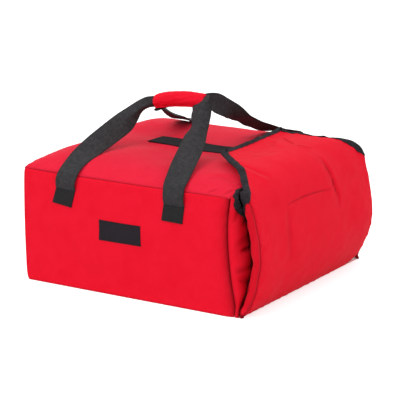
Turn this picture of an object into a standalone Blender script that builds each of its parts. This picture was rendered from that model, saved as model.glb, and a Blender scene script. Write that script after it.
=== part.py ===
"""Insulated pizza delivery bag. A padded nylon box loads at one end, where a flap folds up from
the floor and over the top. Two strap handles meet in a padded grip wrap above it.

+X runs from the closed end to the mouth, +Y to the back, +Z up. The origin is on the floor.
"""

import bmesh
import bpy
import numpy as np
from mathutils import Matrix, Vector

for old in list(bpy.data.objects):
    bpy.data.objects.remove(old, do_unlink=True)

# Body, measured over its seams
BODY_LENGTH = 0.453
BODY_WIDTH = 0.455
BODY_HEIGHT = 0.215
CLOSED_END_X = -0.235
BASE_TONGUE = 0.022
CROWN_RISE = 0.030
CROWN_POWER = 6
CROWN_MOUTH_SHARE = 0.88

# Cloth, wadding and the space between any two of them
NYLON = 0.0012
WADDING = 0.009
LINING = 0.0012
GAP = 0.0003

# Flap, which runs from the floor of the mouth to the edge of the lid
FLAP_INSET = 0.0055
HEM_OUT = 0.0245
HEM_HEIGHT = 0.035
HEM_LEAN_SHARE = 0.35
SHOULDER_OUT = 0.0163
SHOULDER_LEAN_SHARE = 0.39
FLAP_BULGE = 0.002
LID_LENGTH = 0.070
FOLD_REACH = 0.066
LID_END_WIDTH = 0.214
HEM_HANDLE_SHARE = 0.36
BEND_HANDLE_SHARE = 0.22
END_HANDLE_SHARE = 0.33
HEM_STEPS = 6
END_STEPS = 8
BEND_STEPS = 10
LID_STEPS = 2
CURVE_SAMPLES = 33

# Gussets, which fold in between the side panels and the flap
GUSSET_WADDING = 0.007
GUSSET_DEPTH = 0.100
GUSSET_FOLD_SHARE = 0.5
GUSSET_TIP = 0.009
GUSSET_RINGS = 13

# Edge binding and hook-and-loop tape
BINDING = 0.004
BINDING_PROUD = 0.0006
TAPE = 0.002
LOOP_STRIP_LENGTH = 0.262
LOOP_STRIP_WIDTH = 0.051
LOOP_STRIP_MARGIN = 0.048
HOOK_STRIP_LENGTH = 0.050
HOOK_STRIP_WIDTH = 0.180
HOOK_STRIP_MARGIN = 0.008
SEAM_TAPE = 0.004

# Handles of flat webbing
WEBBING_WIDTH = 0.044
WEBBING = 0.002
HANDLE_X = -0.017
LEG_SPACING = 0.238
STITCH_DROP = 0.026
TAB_LENGTH = 0.032
SHOULDER_IN = 0.058
SHOULDER_RISE = 0.037
SHOULDER_SHIFT = 0.010
SHOULDER_SLOPE = 0.38
SEAM_CURVE_SHARE = 0.30
GRIP_CURVE_SHARE = 0.25
LEG_STEPS = 9

# Grip, where the webbing is folded double inside a padded wrap
GRIP_LENGTH = 0.126
GRIP_RISE = 0.121
GRIP_Y = -0.026
WRAP_LENGTH = 0.120
WRAP_NYLON = 0.0010
WRAP_PAD = 0.0023
WRAP_TAPE = 0.0012
WRAP_TONGUE_DEG = 45.0
WRAP_STEP_DEG = 18.0
WRAP_SPLIT_DEG = 2.0
HALF_STEPS = 12
CLOSING_STEPS = 24
TONGUE_STEPS = 4

# Label patch on the front
LABEL_LENGTH = 0.092
LABEL_HEIGHT = 0.039
LABEL_DROP = 0.076
PATCH = 0.0008

HALF_WIDTH = BODY_WIDTH / 2
MOUTH_X = CLOSED_END_X + BODY_LENGTH
BASE_X = MOUTH_X + BASE_TONGUE
WALL = NYLON + GAP + WADDING + GAP + LINING
CROWN_REACH = BODY_LENGTH / (1 + CROWN_MOUTH_SHARE)
CROWN_PEAK_X = CLOSED_END_X + CROWN_REACH
FLAP_HALF = HALF_WIDTH - FLAP_INSET
LID_END_HALF = LID_END_WIDTH / 2

RED = ((0.83, 0.016, 0.030), 0.72)
RED_LINING = ((0.70, 0.015, 0.028), 0.65)
CREAM = ((0.86, 0.85, 0.80), 0.95)
CHARCOAL = ((0.035, 0.035, 0.037), 0.80)
BLACK = ((0.018, 0.016, 0.020), 0.85)

# Each layer of the wall: name, offset of its outer face, offset of its inner face, finish
LAYERS = (
    ("outer", 0.0, NYLON, RED),
    ("wadding", NYLON + GAP, NYLON + GAP + WADDING, CREAM),
    ("lining", WALL - LINING, WALL, RED_LINING),
)

bag = bpy.data.collections.new("pizza_delivery_bag")
bpy.context.scene.collection.children.link(bag)
cutters = bpy.data.collections.new("cutters")
cutters.hide_render = True
bpy.context.scene.collection.children.link(cutters)


def add(name, shape, finish, body=None):
    """Puts a bmesh into the bag as a named object with its own material, carried by a body."""
    bmesh.ops.recalc_face_normals(shape, faces=shape.faces[:])
    mesh = bpy.data.meshes.new(name)
    shape.to_mesh(mesh)
    shape.free()
    colour, roughness = finish
    material = bpy.data.materials.new(name)
    material.use_nodes = True
    shader = material.node_tree.nodes["Principled BSDF"]
    shader.inputs["Base Color"].default_value = (*colour, 1)
    shader.inputs["Roughness"].default_value = roughness
    shader.inputs["Metallic"].default_value = 0
    material.diffuse_color = (*colour, 1)
    mesh.materials.append(material)
    piece = bpy.data.objects.new(name, mesh)
    bag.objects.link(piece)
    if body:
        piece.parent = body
        piece.matrix_parent_inverse = Matrix.Translation(-body.location)
    return piece


def pivot(name, place, parent=None):
    """An empty on a joint's axis, which carries the pieces that turn there."""
    empty = bpy.data.objects.new(name, None)
    empty.location = place
    bag.objects.link(empty)
    if parent:
        empty.parent = parent
        empty.matrix_parent_inverse = Matrix.Translation(-parent.location)
    return empty


def box_shape(low, high):
    """A unit cube scaled and moved to fill the box from low to high."""
    low, high = Vector(low), Vector(high)
    shape = bmesh.new()
    bmesh.ops.create_cube(shape, size=1)
    bmesh.ops.scale(shape, vec=high - low, verts=shape.verts)
    bmesh.ops.translate(shape, vec=(low + high) / 2, verts=shape.verts)
    return shape


def loft_shape(rings):
    """A closed skin over a row of rings with equal numbers of corners, capped at both ends."""
    shape = bmesh.new()
    rows = [[shape.verts.new(corner) for corner in ring] for ring in rings]
    for low, high in zip(rows, rows[1:]):
        for i, corner in enumerate(low):
            j = (i + 1) % len(low)
            shape.faces.new((corner, low[j], high[j], high[i]))
    shape.faces.new(rows[0][::-1])
    shape.faces.new(rows[-1])
    return shape


def crown(x, y):
    """Rise of the padded top over its seams: full in the middle, nothing at three of its edges."""
    along = 1 - np.abs((x - CROWN_PEAK_X) / CROWN_REACH) ** CROWN_POWER
    across = 1 - np.abs(y / HALF_WIDTH) ** CROWN_POWER
    return CROWN_RISE * along * across


# Every layer of the top shares one net of creases, so that its flat facets nest
CROWN_COLUMNS = 18
CROWN_ROWS = 16
layer_edges = np.array([near for _, near, _, _ in LAYERS])
inner_x = np.linspace(CLOSED_END_X, MOUTH_X, CROWN_COLUMNS + 1)[1:]
inner_y = np.linspace(-HALF_WIDTH, HALF_WIDTH, CROWN_ROWS + 1)[1:-1]
crease_x = np.concatenate((CLOSED_END_X + layer_edges, inner_x))
crease_y = np.concatenate((layer_edges - HALF_WIDTH, inner_y, HALF_WIDTH - layer_edges[::-1]))
crease_rise = crown(crease_x[None, :], crease_y[:, None])


def faceted_crown(x, y):
    """The crown as the flat facets between its creases give it."""
    rises = [np.interp(x, crease_x, row) for row in crease_rise]
    return np.interp(y, crease_y, rises)


def crowned_shape(x_range, y_range, depth, thickness):
    """A sheet that follows the crown at a depth below it, with its thickness straight down."""
    stations = []
    for (low, high), creases in ((x_range, crease_x), (y_range, crease_y)):
        between = creases[(creases > low + GAP / 2) & (creases < high - GAP / 2)]
        stations.append(np.concatenate(((low,), between, (high,))))
    xs, ys = stations
    shape = bmesh.new()
    bmesh.ops.create_grid(shape, x_segments=len(xs) - 1, y_segments=len(ys) - 1, size=1)
    for vertex in shape.verts:
        column = round((vertex.co.x + 1) / 2 * (len(xs) - 1))
        row = round((vertex.co.y + 1) / 2 * (len(ys) - 1))
        x, y = xs[column], ys[row]
        vertex.co = (x, y, BODY_HEIGHT + faceted_crown(x, y) - depth)
    under = bmesh.ops.extrude_face_region(shape, geom=shape.faces[:])["geom"]
    lowered = [item for item in under if isinstance(item, bmesh.types.BMVert)]
    bmesh.ops.translate(shape, vec=(0, 0, -thickness), verts=lowered)
    return shape


# Five padded panels, each an outer cloth, a wadding and a lining that nest with a small gap
for layer, near, far, finish in LAYERS:
    outside_y = HALF_WIDTH - near
    inside_y = HALF_WIDTH - far
    wall_top = BODY_HEIGHT - far - GAP
    start_x = CLOSED_END_X + near
    end_x = CLOSED_END_X + far
    floor = box_shape((start_x, -outside_y, near), (BASE_X, outside_y, far))
    add(f"base_{layer}", floor, finish)
    for side_name, side in (("front", -1), ("back", 1)):
        faces_y = sorted((side * outside_y, side * inside_y))
        low = (start_x, faces_y[0], far + GAP)
        high = (MOUTH_X, faces_y[1], wall_top)
        add(f"{side_name}_{layer}", box_shape(low, high), finish)
    low = (start_x, -inside_y + GAP, far + GAP)
    high = (end_x, inside_y - GAP, wall_top)
    add(f"closed_end_{layer}", box_shape(low, high), finish)
    x_range = (start_x, MOUTH_X)
    y_range = (-outside_y, outside_y)
    sheet = crowned_shape(x_range, y_range, near, far - near)
    add(f"top_{layer}", sheet, finish)

# Seam tapes cover the raw seams inside: a frame at the closed end and one along each long seam
inside = WALL + GAP
frame_x = CLOSED_END_X + inside + SEAM_TAPE
frame_low = (CLOSED_END_X + inside, -HALF_WIDTH + inside, inside)
frame_high = (frame_x, HALF_WIDTH - inside, BODY_HEIGHT - inside)
closed_end_tape = add("closed_end_seam_tape", box_shape(frame_low, frame_high), BLACK)
hole_low = (CLOSED_END_X, -HALF_WIDTH + inside + SEAM_TAPE, inside + SEAM_TAPE)
hole_high = (frame_x + inside, HALF_WIDTH - inside - SEAM_TAPE, BODY_HEIGHT - inside - SEAM_TAPE)
hole = add("seam_tape_window", box_shape(hole_low, hole_high), BLACK)
bag.objects.unlink(hole)
cutters.objects.link(hole)
hole.hide_render = True
hole.display_type = "WIRE"
window = closed_end_tape.modifiers.new("window", "BOOLEAN")
window.operation = "DIFFERENCE"
window.solver = "EXACT"
window.object = hole
for side_name, side in (("front", -1), ("back", 1)):
    edges_y = sorted((side * (HALF_WIDTH - inside), side * (HALF_WIDTH - inside - SEAM_TAPE)))
    for level_name, low_z in (("base", inside), ("top", BODY_HEIGHT - inside - SEAM_TAPE)):
        low = (frame_x + GAP, edges_y[0], low_z)
        high = (MOUTH_X, edges_y[1], low_z + SEAM_TAPE)
        add(f"{level_name}_{side_name}_seam_tape", box_shape(low, high), BLACK)

# The top panel's free edge at the mouth is bound, and so follows the crown
top_binding_x = (MOUTH_X + GAP, MOUTH_X + GAP + BINDING)
rings = []
for y in np.linspace(-HALF_WIDTH, HALF_WIDTH, CROWN_ROWS + 1):
    edge_top = BODY_HEIGHT + crown(MOUTH_X, y) + BINDING_PROUD
    edge_low = edge_top - WALL - 2 * BINDING_PROUD
    near_x, far_x = top_binding_x
    rings.append([
        (near_x, y, edge_low),
        (far_x, y, edge_low),
        (far_x, y, edge_top),
        (near_x, y, edge_top),
    ])
add("top_mouth_binding", loft_shape(rings), BLACK)

# A strip of loop tape lies along the middle of the top and runs under the lid
loop_end_x = MOUTH_X - LOOP_STRIP_MARGIN
loop_x = (loop_end_x - LOOP_STRIP_LENGTH, loop_end_x)
loop_y = (-LOOP_STRIP_WIDTH / 2, LOOP_STRIP_WIDTH / 2)
strip = crowned_shape(loop_x, loop_y, -GAP - TAPE, TAPE)
add("top_loop_strip", strip, BLACK)

# The flap's outer face in side view: a bend at the floor, a bulged end section that closes the
# mouth, a bend over its top, and the flat lid that the hook strip holds down
lid_under = BODY_HEIGHT + CROWN_RISE + GAP + TAPE + GAP + TAPE + GAP
lid_top = lid_under + WALL
foot = np.array((BASE_X + GAP, 0.0))
hem = np.array((BASE_X + HEM_OUT, HEM_HEIGHT))
shoulder = np.array((BASE_X + SHOULDER_OUT, BODY_HEIGHT))
lid_root = np.array((shoulder[0] - FOLD_REACH, lid_top))
lid_end = lid_root - (LID_LENGTH, 0)
HEM_LEAN = np.array((HEM_LEAN_SHARE, 1.0))
SHOULDER_LEAN = np.array((-SHOULDER_LEAN_SHARE, 1.0))
FORWARD = np.array((1.0, 0.0))
BACKWARD = np.array((-1.0, 0.0))


def cubic(start, start_way, end, end_way, handle_share):
    """The four control points of a curve from start to end, which leaves and arrives as told."""
    reach = handle_share * np.abs(end - start).sum()
    start_way = start_way / np.linalg.norm(start_way)
    end_way = end_way / np.linalg.norm(end_way)
    return np.array((start, start + reach * start_way, end - reach * end_way, end))


def along(controls, share, depth=0.0):
    """The point at a share of a control curve, moved by a depth to the left of its travel."""
    a, b, c, d = controls
    rest = 1 - share
    place = rest**3 * a + 3 * rest**2 * share * b + 3 * rest * share**2 * c + share**3 * d
    way = rest**2 * (b - a) + 2 * rest * share * (c - b) + share**2 * (d - c)
    way = way / np.linalg.norm(way)
    return place + depth * np.array((-way[1], way[0]))


def length_of(controls):
    """The length of a control curve, summed over short chords."""
    points = np.array([along(controls, share) for share in np.linspace(0, 1, CURVE_SAMPLES)])
    return np.linalg.norm(np.diff(points, axis=0), axis=1).sum()


HEM_CURVE = cubic(foot, FORWARD, hem, HEM_LEAN, HEM_HANDLE_SHARE)
END_CURVE = cubic(hem, HEM_LEAN, shoulder, SHOULDER_LEAN, END_HANDLE_SHARE)
END_CURVE[1:3, 0] += FLAP_BULGE
FOLD_CURVE = cubic(shoulder, SHOULDER_LEAN, lid_root, BACKWARD, BEND_HANDLE_SHARE)
LID_CURVE = cubic(lid_root, BACKWARD, lid_end, BACKWARD, END_HANDLE_SHARE)
fold_length = length_of(FOLD_CURVE)
hem_length = length_of(HEM_CURVE)
lid_root_half = np.interp(fold_length, (0, fold_length + LID_LENGTH), (FLAP_HALF, LID_END_HALF))

# The flap turns where its end section would lie on the floor with the hem bend run straight, and
# the lid where it would stand in line with the end section with the upper bend run straight
bulge_x = max(along(END_CURVE, share)[0] for share in np.linspace(0, 1, CURVE_SAMPLES))
flap_sum = bulge_x
flap_difference = BASE_X + hem_length - hem[1]
flap_axis = ((flap_sum + flap_difference) / 2, 0, (flap_sum - flap_difference) / 2)
lid_sum = shoulder[1] + fold_length + lid_root[0]
lid_difference = shoulder[0] - lid_root[1]
lid_axis = ((lid_sum + lid_difference) / 2, 0, (lid_sum - lid_difference) / 2)
flap_pivot = pivot("flap_pivot", flap_axis)
lid_pivot = pivot("lid_pivot", lid_axis, flap_pivot)

# The four stretches of the flap: name, curve, half widths at start and end, steps, body
STRETCHES = (
    ("flap_hem", HEM_CURVE, FLAP_HALF, FLAP_HALF, HEM_STEPS, flap_pivot),
    ("flap_end", END_CURVE, FLAP_HALF, FLAP_HALF, END_STEPS, flap_pivot),
    ("flap_fold", FOLD_CURVE, FLAP_HALF, lid_root_half, BEND_STEPS, lid_pivot),
    ("lid", LID_CURVE, lid_root_half, LID_END_HALF, LID_STEPS, lid_pivot),
)


def trimmed_shares(curve, steps):
    """Shares from end to end of a curve, each end drawn in by half the gap between stretches."""
    trim = GAP / length_of(curve) / 2
    return np.linspace(trim, 1 - trim, steps + 1)


for stretch, curve, start_half, end_half, steps, body in STRETCHES:
    for layer, near, far, finish in LAYERS:
        rings = []
        for share in trimmed_shares(curve, steps):
            half = np.interp(share, (0, 1), (start_half, end_half))
            outer_x, outer_z = along(curve, share, near)
            inner_x, inner_z = along(curve, share, far)
            rings.append([
                (outer_x, -half, outer_z),
                (outer_x, half, outer_z),
                (inner_x, half, inner_z),
                (inner_x, -half, inner_z),
            ])
        add(f"{stretch}_{layer}", loft_shape(rings), finish, body)

# Binding along the two slanting edges of the upper bend, then round the three edges of the lid
for side_name, side in (("front", -1), ("back", 1)):
    rings = []
    for share in trimmed_shares(FOLD_CURVE, BEND_STEPS):
        half = np.interp(share, (0, 1), (FLAP_HALF, lid_root_half)) + GAP
        outer_x, outer_z = along(FOLD_CURVE, share, -BINDING_PROUD)
        inner_x, inner_z = along(FOLD_CURVE, share, WALL + BINDING_PROUD)
        rings.append([
            (outer_x, side * half, outer_z),
            (outer_x, side * (half + BINDING), outer_z),
            (inner_x, side * (half + BINDING), inner_z),
            (inner_x, side * half, inner_z),
        ])
    add(f"fold_{side_name}_binding", loft_shape(rings), BLACK, lid_pivot)

binding_z = (lid_under - BINDING_PROUD, lid_top + BINDING_PROUD)
lid_taper = (lid_root_half - LID_END_HALF) / LID_LENGTH
corner_run = np.hypot(1, lid_taper)
edge_paths = []
for offset in (GAP, GAP + BINDING):
    end_x = lid_end[0] - offset
    side_y = LID_END_HALF + offset * corner_run
    end_y = side_y - offset * lid_taper
    root_y = side_y + lid_taper * (LID_LENGTH - GAP)
    start_x = lid_root[0] - GAP
    edge_paths.append([(start_x, -root_y), (end_x, -end_y), (end_x, end_y), (start_x, root_y)])
rings = []
for (near_x, near_y), (far_x, far_y) in zip(*edge_paths):
    low_z, high_z = binding_z
    rings.append([
        (near_x, near_y, low_z),
        (far_x, far_y, low_z),
        (far_x, far_y, high_z),
        (near_x, near_y, high_z),
    ])
add("lid_binding", loft_shape(rings), BLACK, lid_pivot)

# Hook tape under the lid, which the loop strip on the top holds
hook_x = lid_end[0] + HOOK_STRIP_MARGIN
hook_low = (hook_x, -HOOK_STRIP_WIDTH / 2, lid_under - GAP - TAPE)
hook_high = (hook_x + HOOK_STRIP_LENGTH, HOOK_STRIP_WIDTH / 2, lid_under - GAP)
add("lid_hook_strip", box_shape(hook_low, hook_high), BLACK, lid_pivot)


def flap_inner_x(height):
    """Where the inside of the flap and its binding is at a height, read along three stretches."""
    shares = np.linspace(0, 1, CURVE_SAMPLES)
    depth = WALL + BINDING_PROUD
    curves = (HEM_CURVE, END_CURVE, FOLD_CURVE)
    places = np.array([along(curve, share, depth) for curve in curves for share in shares])
    return np.interp(height, places[:, 1], places[:, 0])


# Each gusset is a padded triangle folded in half, its free edge running down and in to the fold
gusset_low = WALL + GAP + LINING
gusset_high = BODY_HEIGHT - WALL - BINDING_PROUD - GAP - LINING
gusset_fold = np.interp(GUSSET_FOLD_SHARE, (0, 1), (gusset_low, gusset_high))
heights = np.linspace(gusset_low, gusset_high, GUSSET_RINGS)
depth_marks = (GUSSET_TIP, GUSSET_DEPTH, GUSSET_TIP)
depths = np.interp(heights, (gusset_low, gusset_fold, gusset_high), depth_marks)


def gusset_ring(side, height, depth, half_name):
    """A level slice of one half of a gusset: seam edge first, then the edge in the fold."""
    flap_x = flap_inner_x(height) - GAP
    body_x = MOUTH_X + GAP
    fold_x = (flap_x + body_x) / 2
    if half_name == "body":
        seam = (body_x, body_x + GUSSET_WADDING)
        fold = (fold_x - GAP - GUSSET_WADDING, fold_x - GAP)
        seam_y = HALF_WIDTH
    else:
        seam = (flap_x - GUSSET_WADDING, flap_x)
        fold = (fold_x + GAP, fold_x + GAP + GUSSET_WADDING)
        seam_y = FLAP_HALF
    fold_y = side * (HALF_WIDTH - depth)
    seam_y = side * seam_y
    return [
        (seam[0], seam_y, height),
        (seam[1], seam_y, height),
        (fold[1], fold_y, height),
        (fold[0], fold_y, height),
    ]


for side_name, side in (("front", -1), ("back", 1)):
    for half_name, body in (("body", None), ("flap", flap_pivot)):
        rings = [gusset_ring(side, z, depth, half_name) for z, depth in zip(heights, depths)]
        add(f"{side_name}_gusset_{half_name}_half", loft_shape(rings), RED, body)
        bound = []
        for z, depth in zip(heights, depths):
            if z >= gusset_fold - GAP:
                ring = gusset_ring(side, z, depth, half_name)
                inner_y = ring[2][1] - side * GAP
                far_y = inner_y - side * BINDING
                bound.append([
                    (ring[3][0], inner_y, z),
                    (ring[2][0], inner_y, z),
                    (ring[2][0], far_y, z),
                    (ring[3][0], far_y, z),
                ])
        add(f"{side_name}_gusset_{half_name}_binding", loft_shape(bound), BLACK, body)

# Handles: each leg's webbing is sewn flat below the stitch line and swings above it
stitch_z = BODY_HEIGHT - STITCH_DROP
tab_face_y = HALF_WIDTH + GAP
swing_y = tab_face_y + WEBBING
grip_z = BODY_HEIGHT + GRIP_RISE
shoulder_z = BODY_HEIGHT + SHOULDER_RISE
fold_width = WEBBING_WIDTH / 2
fold_thickness = 2 * WEBBING

for side_name, side in (("front", -1), ("back", 1)):
    for leg_name, leg in (("closed_end", -1), ("mouth", 1)):
        leg_x = HANDLE_X + leg * LEG_SPACING / 2
        faces_y = sorted((side * tab_face_y, side * swing_y))
        low = (leg_x - WEBBING_WIDTH / 2, faces_y[0], stitch_z - TAB_LENGTH)
        high = (leg_x + WEBBING_WIDTH / 2, faces_y[1], stitch_z - GAP)
        add(f"{side_name}_{leg_name}_handle_tab", box_shape(low, high), CHARCOAL)


def unit(vector):
    return vector / np.linalg.norm(vector)


def smooth(share):
    """Zero to one with no slope at either end."""
    return share * share * (3 - 2 * share)


def leg_rings(side, leg):
    """Sections of one leg, from the stitch line over the bag's shoulder to the end of the grip."""
    leg_x = HANDLE_X + leg * LEG_SPACING / 2
    leg_y = side * (tab_face_y + WEBBING / 2)
    over_y = side * (HALF_WIDTH - SHOULDER_IN)
    grip_y = GRIP_Y + side * (fold_thickness / 2 + GAP)
    start = np.array((leg_x, leg_y, stitch_z + GAP))
    seam = np.array((leg_x, leg_y, BODY_HEIGHT + WEBBING))
    over = np.array((leg_x - leg * SHOULDER_SHIFT, over_y, shoulder_z))
    grip = np.array((HANDLE_X + leg * GRIP_LENGTH / 2, grip_y, grip_z))
    up = np.array((0.0, 0.0, 1.0))
    lean = np.array((0.0, -side * 1.0, SHOULDER_SLOPE))
    inward = np.array((-leg * 1.0, 0.0, 0.0))
    sewn = cubic(start, up, seam, up, END_HANDLE_SHARE)
    lower = cubic(seam, up, over, lean, SEAM_CURVE_SHARE)
    upper = cubic(over, lean, grip, inward, GRIP_CURVE_SHARE)
    outward = np.array((0.0, side * 1.0, 0.0))
    over_face = unit(np.array((0.0, side * SHOULDER_SLOPE, 1.0)))
    sections = []
    stretches = (
        (sewn, (outward, outward), False, (0.0,)),
        (lower, (outward, over_face), False, np.linspace(0, 1, LEG_STEPS + 1)),
        (upper, (over_face, outward), True, np.linspace(0, 1, LEG_STEPS + 1)[1:]),
    )
    for curve, faces, narrow, shares in stretches:
        for share in shares:
            a, b, c, d = curve
            rest = 1 - share
            place = rest**3 * a + 3 * rest**2 * share * b + 3 * rest * share**2 * c + share**3 * d
            way = unit(rest**2 * (b - a) + 2 * rest * share * (c - b) + share**2 * (d - c))
            face = faces[0] + smooth(share) * (faces[1] - faces[0])
            face = unit(face - way * (face @ way))
            across = np.cross(way, face) * leg * side
            fold = smooth(share) if narrow else 0.0
            half_width = np.interp(fold, (0, 1), (WEBBING_WIDTH, fold_width)) / 2
            half_thick = np.interp(fold, (0, 1), (WEBBING, fold_thickness)) / 2
            sections.append([
                place - half_width * across - half_thick * face,
                place + half_width * across - half_thick * face,
                place + half_width * across + half_thick * face,
                place - half_width * across + half_thick * face,
            ])
    return sections


handle_pivots = {}
for side_name, side in (("front", -1), ("back", 1)):
    swing = pivot(f"{side_name}_handle_pivot", (HANDLE_X, side * swing_y, stitch_z))
    handle_pivots[side_name] = swing
    rings = leg_rings(side, -1) + leg_rings(side, 1)[::-1]
    add(f"{side_name}_handle", loft_shape(rings), CHARCOAL, swing)

# Grip wrap: one half is sewn to the front handle, and the other closes round the back one and
# ends in a tongue whose hook tape presses on the loop tape under the grip
pad_inner = np.hypot(fold_width / 2, fold_thickness + GAP) + GAP
pad_outer = pad_inner + WRAP_PAD
wrap_inner = pad_outer + GAP
wrap_outer = wrap_inner + WRAP_NYLON
loop_inner = wrap_outer + GAP
loop_outer = loop_inner + WRAP_TAPE
hook_inner = loop_outer + GAP
hook_outer = hook_inner + WRAP_TAPE
tongue_lift = hook_outer + GAP - wrap_inner
front_swing = handle_pivots["front"]
wrap_pivot = pivot("grip_wrap_pivot", (HANDLE_X, GRIP_Y, grip_z + wrap_outer), front_swing)


def around_grip(start_deg, end_deg, inner, outer, steps, lift=0.0):
    """A curved sheet round the grip between two angles. Past the underside it can step out."""
    rings = []
    for degrees in np.linspace(start_deg, end_deg, steps + 1):
        stepped = smooth(np.clip((-90 + WRAP_STEP_DEG - degrees) / WRAP_STEP_DEG, 0, 1)) * lift
        turn = np.radians(degrees)
        radial = np.array((0.0, np.cos(turn), np.sin(turn)))
        middle = np.array((HANDLE_X, GRIP_Y, grip_z))
        end = np.array((WRAP_LENGTH / 2, 0.0, 0.0))
        rings.append([
            middle - end + (inner + stepped) * radial,
            middle + end + (inner + stepped) * radial,
            middle + end + (outer + stepped) * radial,
            middle - end + (outer + stepped) * radial,
        ])
    return loft_shape(rings)


FRONT_ARC = (90 + WRAP_SPLIT_DEG, 270 - WRAP_SPLIT_DEG)
BACK_ARC = (90 - WRAP_SPLIT_DEG, -90 + WRAP_SPLIT_DEG)
TONGUE_ARC = (-90 - WRAP_SPLIT_DEG, -90 - WRAP_TONGUE_DEG)
CLOSING_ARC = (BACK_ARC[0], TONGUE_ARC[1])
sewn_pad = around_grip(*FRONT_ARC, pad_inner, pad_outer, HALF_STEPS)
add("grip_pad_sewn_half", sewn_pad, CREAM, front_swing)
sewn_cover = around_grip(*FRONT_ARC, wrap_inner, wrap_outer, HALF_STEPS)
add("grip_wrap_sewn_half", sewn_cover, RED, front_swing)
loop_tape = around_grip(*TONGUE_ARC, loop_inner, loop_outer, TONGUE_STEPS)
add("grip_loop_tape", loop_tape, BLACK, front_swing)
closing_pad = around_grip(*BACK_ARC, pad_inner, pad_outer, HALF_STEPS)
add("grip_pad_closing_half", closing_pad, CREAM, wrap_pivot)
closing_cover = around_grip(*CLOSING_ARC, wrap_inner, wrap_outer, CLOSING_STEPS, tongue_lift)
add("grip_wrap_closing_half", closing_cover, RED, wrap_pivot)
hook_tape = around_grip(*TONGUE_ARC, hook_inner, hook_outer, TONGUE_STEPS)
add("grip_hook_tape", hook_tape, BLACK, wrap_pivot)

# Plain woven patch on the front
label_z = BODY_HEIGHT - LABEL_DROP
label_low = (HANDLE_X - LABEL_LENGTH / 2, -HALF_WIDTH - GAP - PATCH, label_z - LABEL_HEIGHT)
label_high = (HANDLE_X + LABEL_LENGTH / 2, -HALF_WIDTH - GAP, label_z)
add("front_label_patch", box_shape(label_low, label_high), BLACK)

for name, place in (("flap", flap_axis), ("lid", lid_axis)):
    print(name, "axis", np.round(place, 6))
print("handle swing", np.round((swing_y, stitch_z), 6))
print("wrap axis", np.round((GRIP_Y, grip_z + wrap_outer), 6))
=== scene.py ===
"""Insulated pizza delivery bag, dressed for its portrait.

The bag is a padded red nylon box. +X runs from its closed end to its mouth, +Y to the back and
+Z up, in metres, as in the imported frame. Each section makes one piece, or a group of like pieces.
"""

import bmesh
import bpy
import numpy as np
from mathutils import Matrix


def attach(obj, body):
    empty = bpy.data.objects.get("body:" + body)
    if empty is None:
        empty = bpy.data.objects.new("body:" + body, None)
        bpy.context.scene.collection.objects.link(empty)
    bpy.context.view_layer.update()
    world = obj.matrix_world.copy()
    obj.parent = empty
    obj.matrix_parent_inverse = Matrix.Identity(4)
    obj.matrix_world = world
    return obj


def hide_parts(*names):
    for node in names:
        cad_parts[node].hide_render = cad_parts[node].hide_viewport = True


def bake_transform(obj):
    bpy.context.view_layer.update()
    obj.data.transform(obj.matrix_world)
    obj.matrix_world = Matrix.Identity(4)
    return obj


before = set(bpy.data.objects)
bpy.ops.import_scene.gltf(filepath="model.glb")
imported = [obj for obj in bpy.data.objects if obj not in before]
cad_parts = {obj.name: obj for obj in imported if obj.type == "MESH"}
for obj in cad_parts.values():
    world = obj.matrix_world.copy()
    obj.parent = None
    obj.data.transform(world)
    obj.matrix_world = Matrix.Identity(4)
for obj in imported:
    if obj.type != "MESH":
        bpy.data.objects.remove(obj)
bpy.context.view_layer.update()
scene = bpy.context.scene
scene.view_settings.view_transform = "Standard"

# --- Camera. It stands low on the mouth side of the front, about three metres off, with a long
# lens. Turn, tilt, distance and centre come from the box's seams in the photograph.
VIEW_TURN, VIEW_TILT = np.radians((31.554, 13.977))
VIEW_DISTANCE = 3.170
VIEW_RIGHT, VIEW_UP = 0.0700, 0.1257
FRAME_PX = 400
FOCAL_PX = 1621.592
CENTRE_PX = (231.141, 203.658)
SENSOR_MM = 36.0


def placed(right, up, toward, spot):
    """A placing at a spot, with its axes turned right, up and toward the viewer."""
    rows = zip(np.stack((right, up, toward), 1), spot)
    return Matrix([(*row, place) for row, place in rows] + [(0, 0, 0, 1)])


toward = np.array((
    np.sin(VIEW_TURN) * np.cos(VIEW_TILT), -np.cos(VIEW_TURN) * np.cos(VIEW_TILT), np.sin(VIEW_TILT),
))
rightward = np.array((np.cos(VIEW_TURN), np.sin(VIEW_TURN), 0.0))
upward = np.cross(toward, rightward)
stand = VIEW_DISTANCE * toward + VIEW_RIGHT * rightward + VIEW_UP * upward
lens = bpy.data.cameras.new("portrait")
lens.sensor_width = SENSOR_MM
lens.lens = FOCAL_PX / FRAME_PX * SENSOR_MM
lens.shift_x = (FRAME_PX / 2 - CENTRE_PX[0]) / FRAME_PX
lens.shift_y = (CENTRE_PX[1] - FRAME_PX / 2) / FRAME_PX
camera = bpy.data.objects.new("portrait", lens)
camera.matrix_world = placed(rightward, upward, toward, stand)
scene.collection.objects.link(camera)
scene.camera = camera

# --- Floor and light. A pale sweep of studio paper, a wide soft lamp over the front left, a
# weaker one over the mouth, and an even glow from all round.
FLOOR_HALF = 14.0
PAPER = (0.80, 0.80, 0.80)
PAPER_GLOW = 0.60
GLOW = 0.86
LAMPS = (
    ("key_lamp", (-1.3, -2.3, 2.9), 3.0, 40.0),
    ("fill_lamp", (2.6, -1.6, 1.5), 2.4, 10.0),
    ("back_lamp", (0.4, 2.4, 2.8), 2.4, 8.0),
)


def feed(tree, node, feeds):
    """Gives each named input of a node a value or another node's output."""
    for socket, value in dict(feeds).items():
        if isinstance(value, bpy.types.NodeSocket):
            tree.links.new(value, node.inputs[socket])
        else:
            node.inputs[socket].default_value = value


def wire(tree, kind, feeds=(), **settings):
    """Adds a shader node, sets it and feeds its inputs."""
    node = tree.nodes.new(kind)
    for setting, value in settings.items():
        setattr(node, setting, value)
    feed(tree, node, feeds)
    return node


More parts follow.
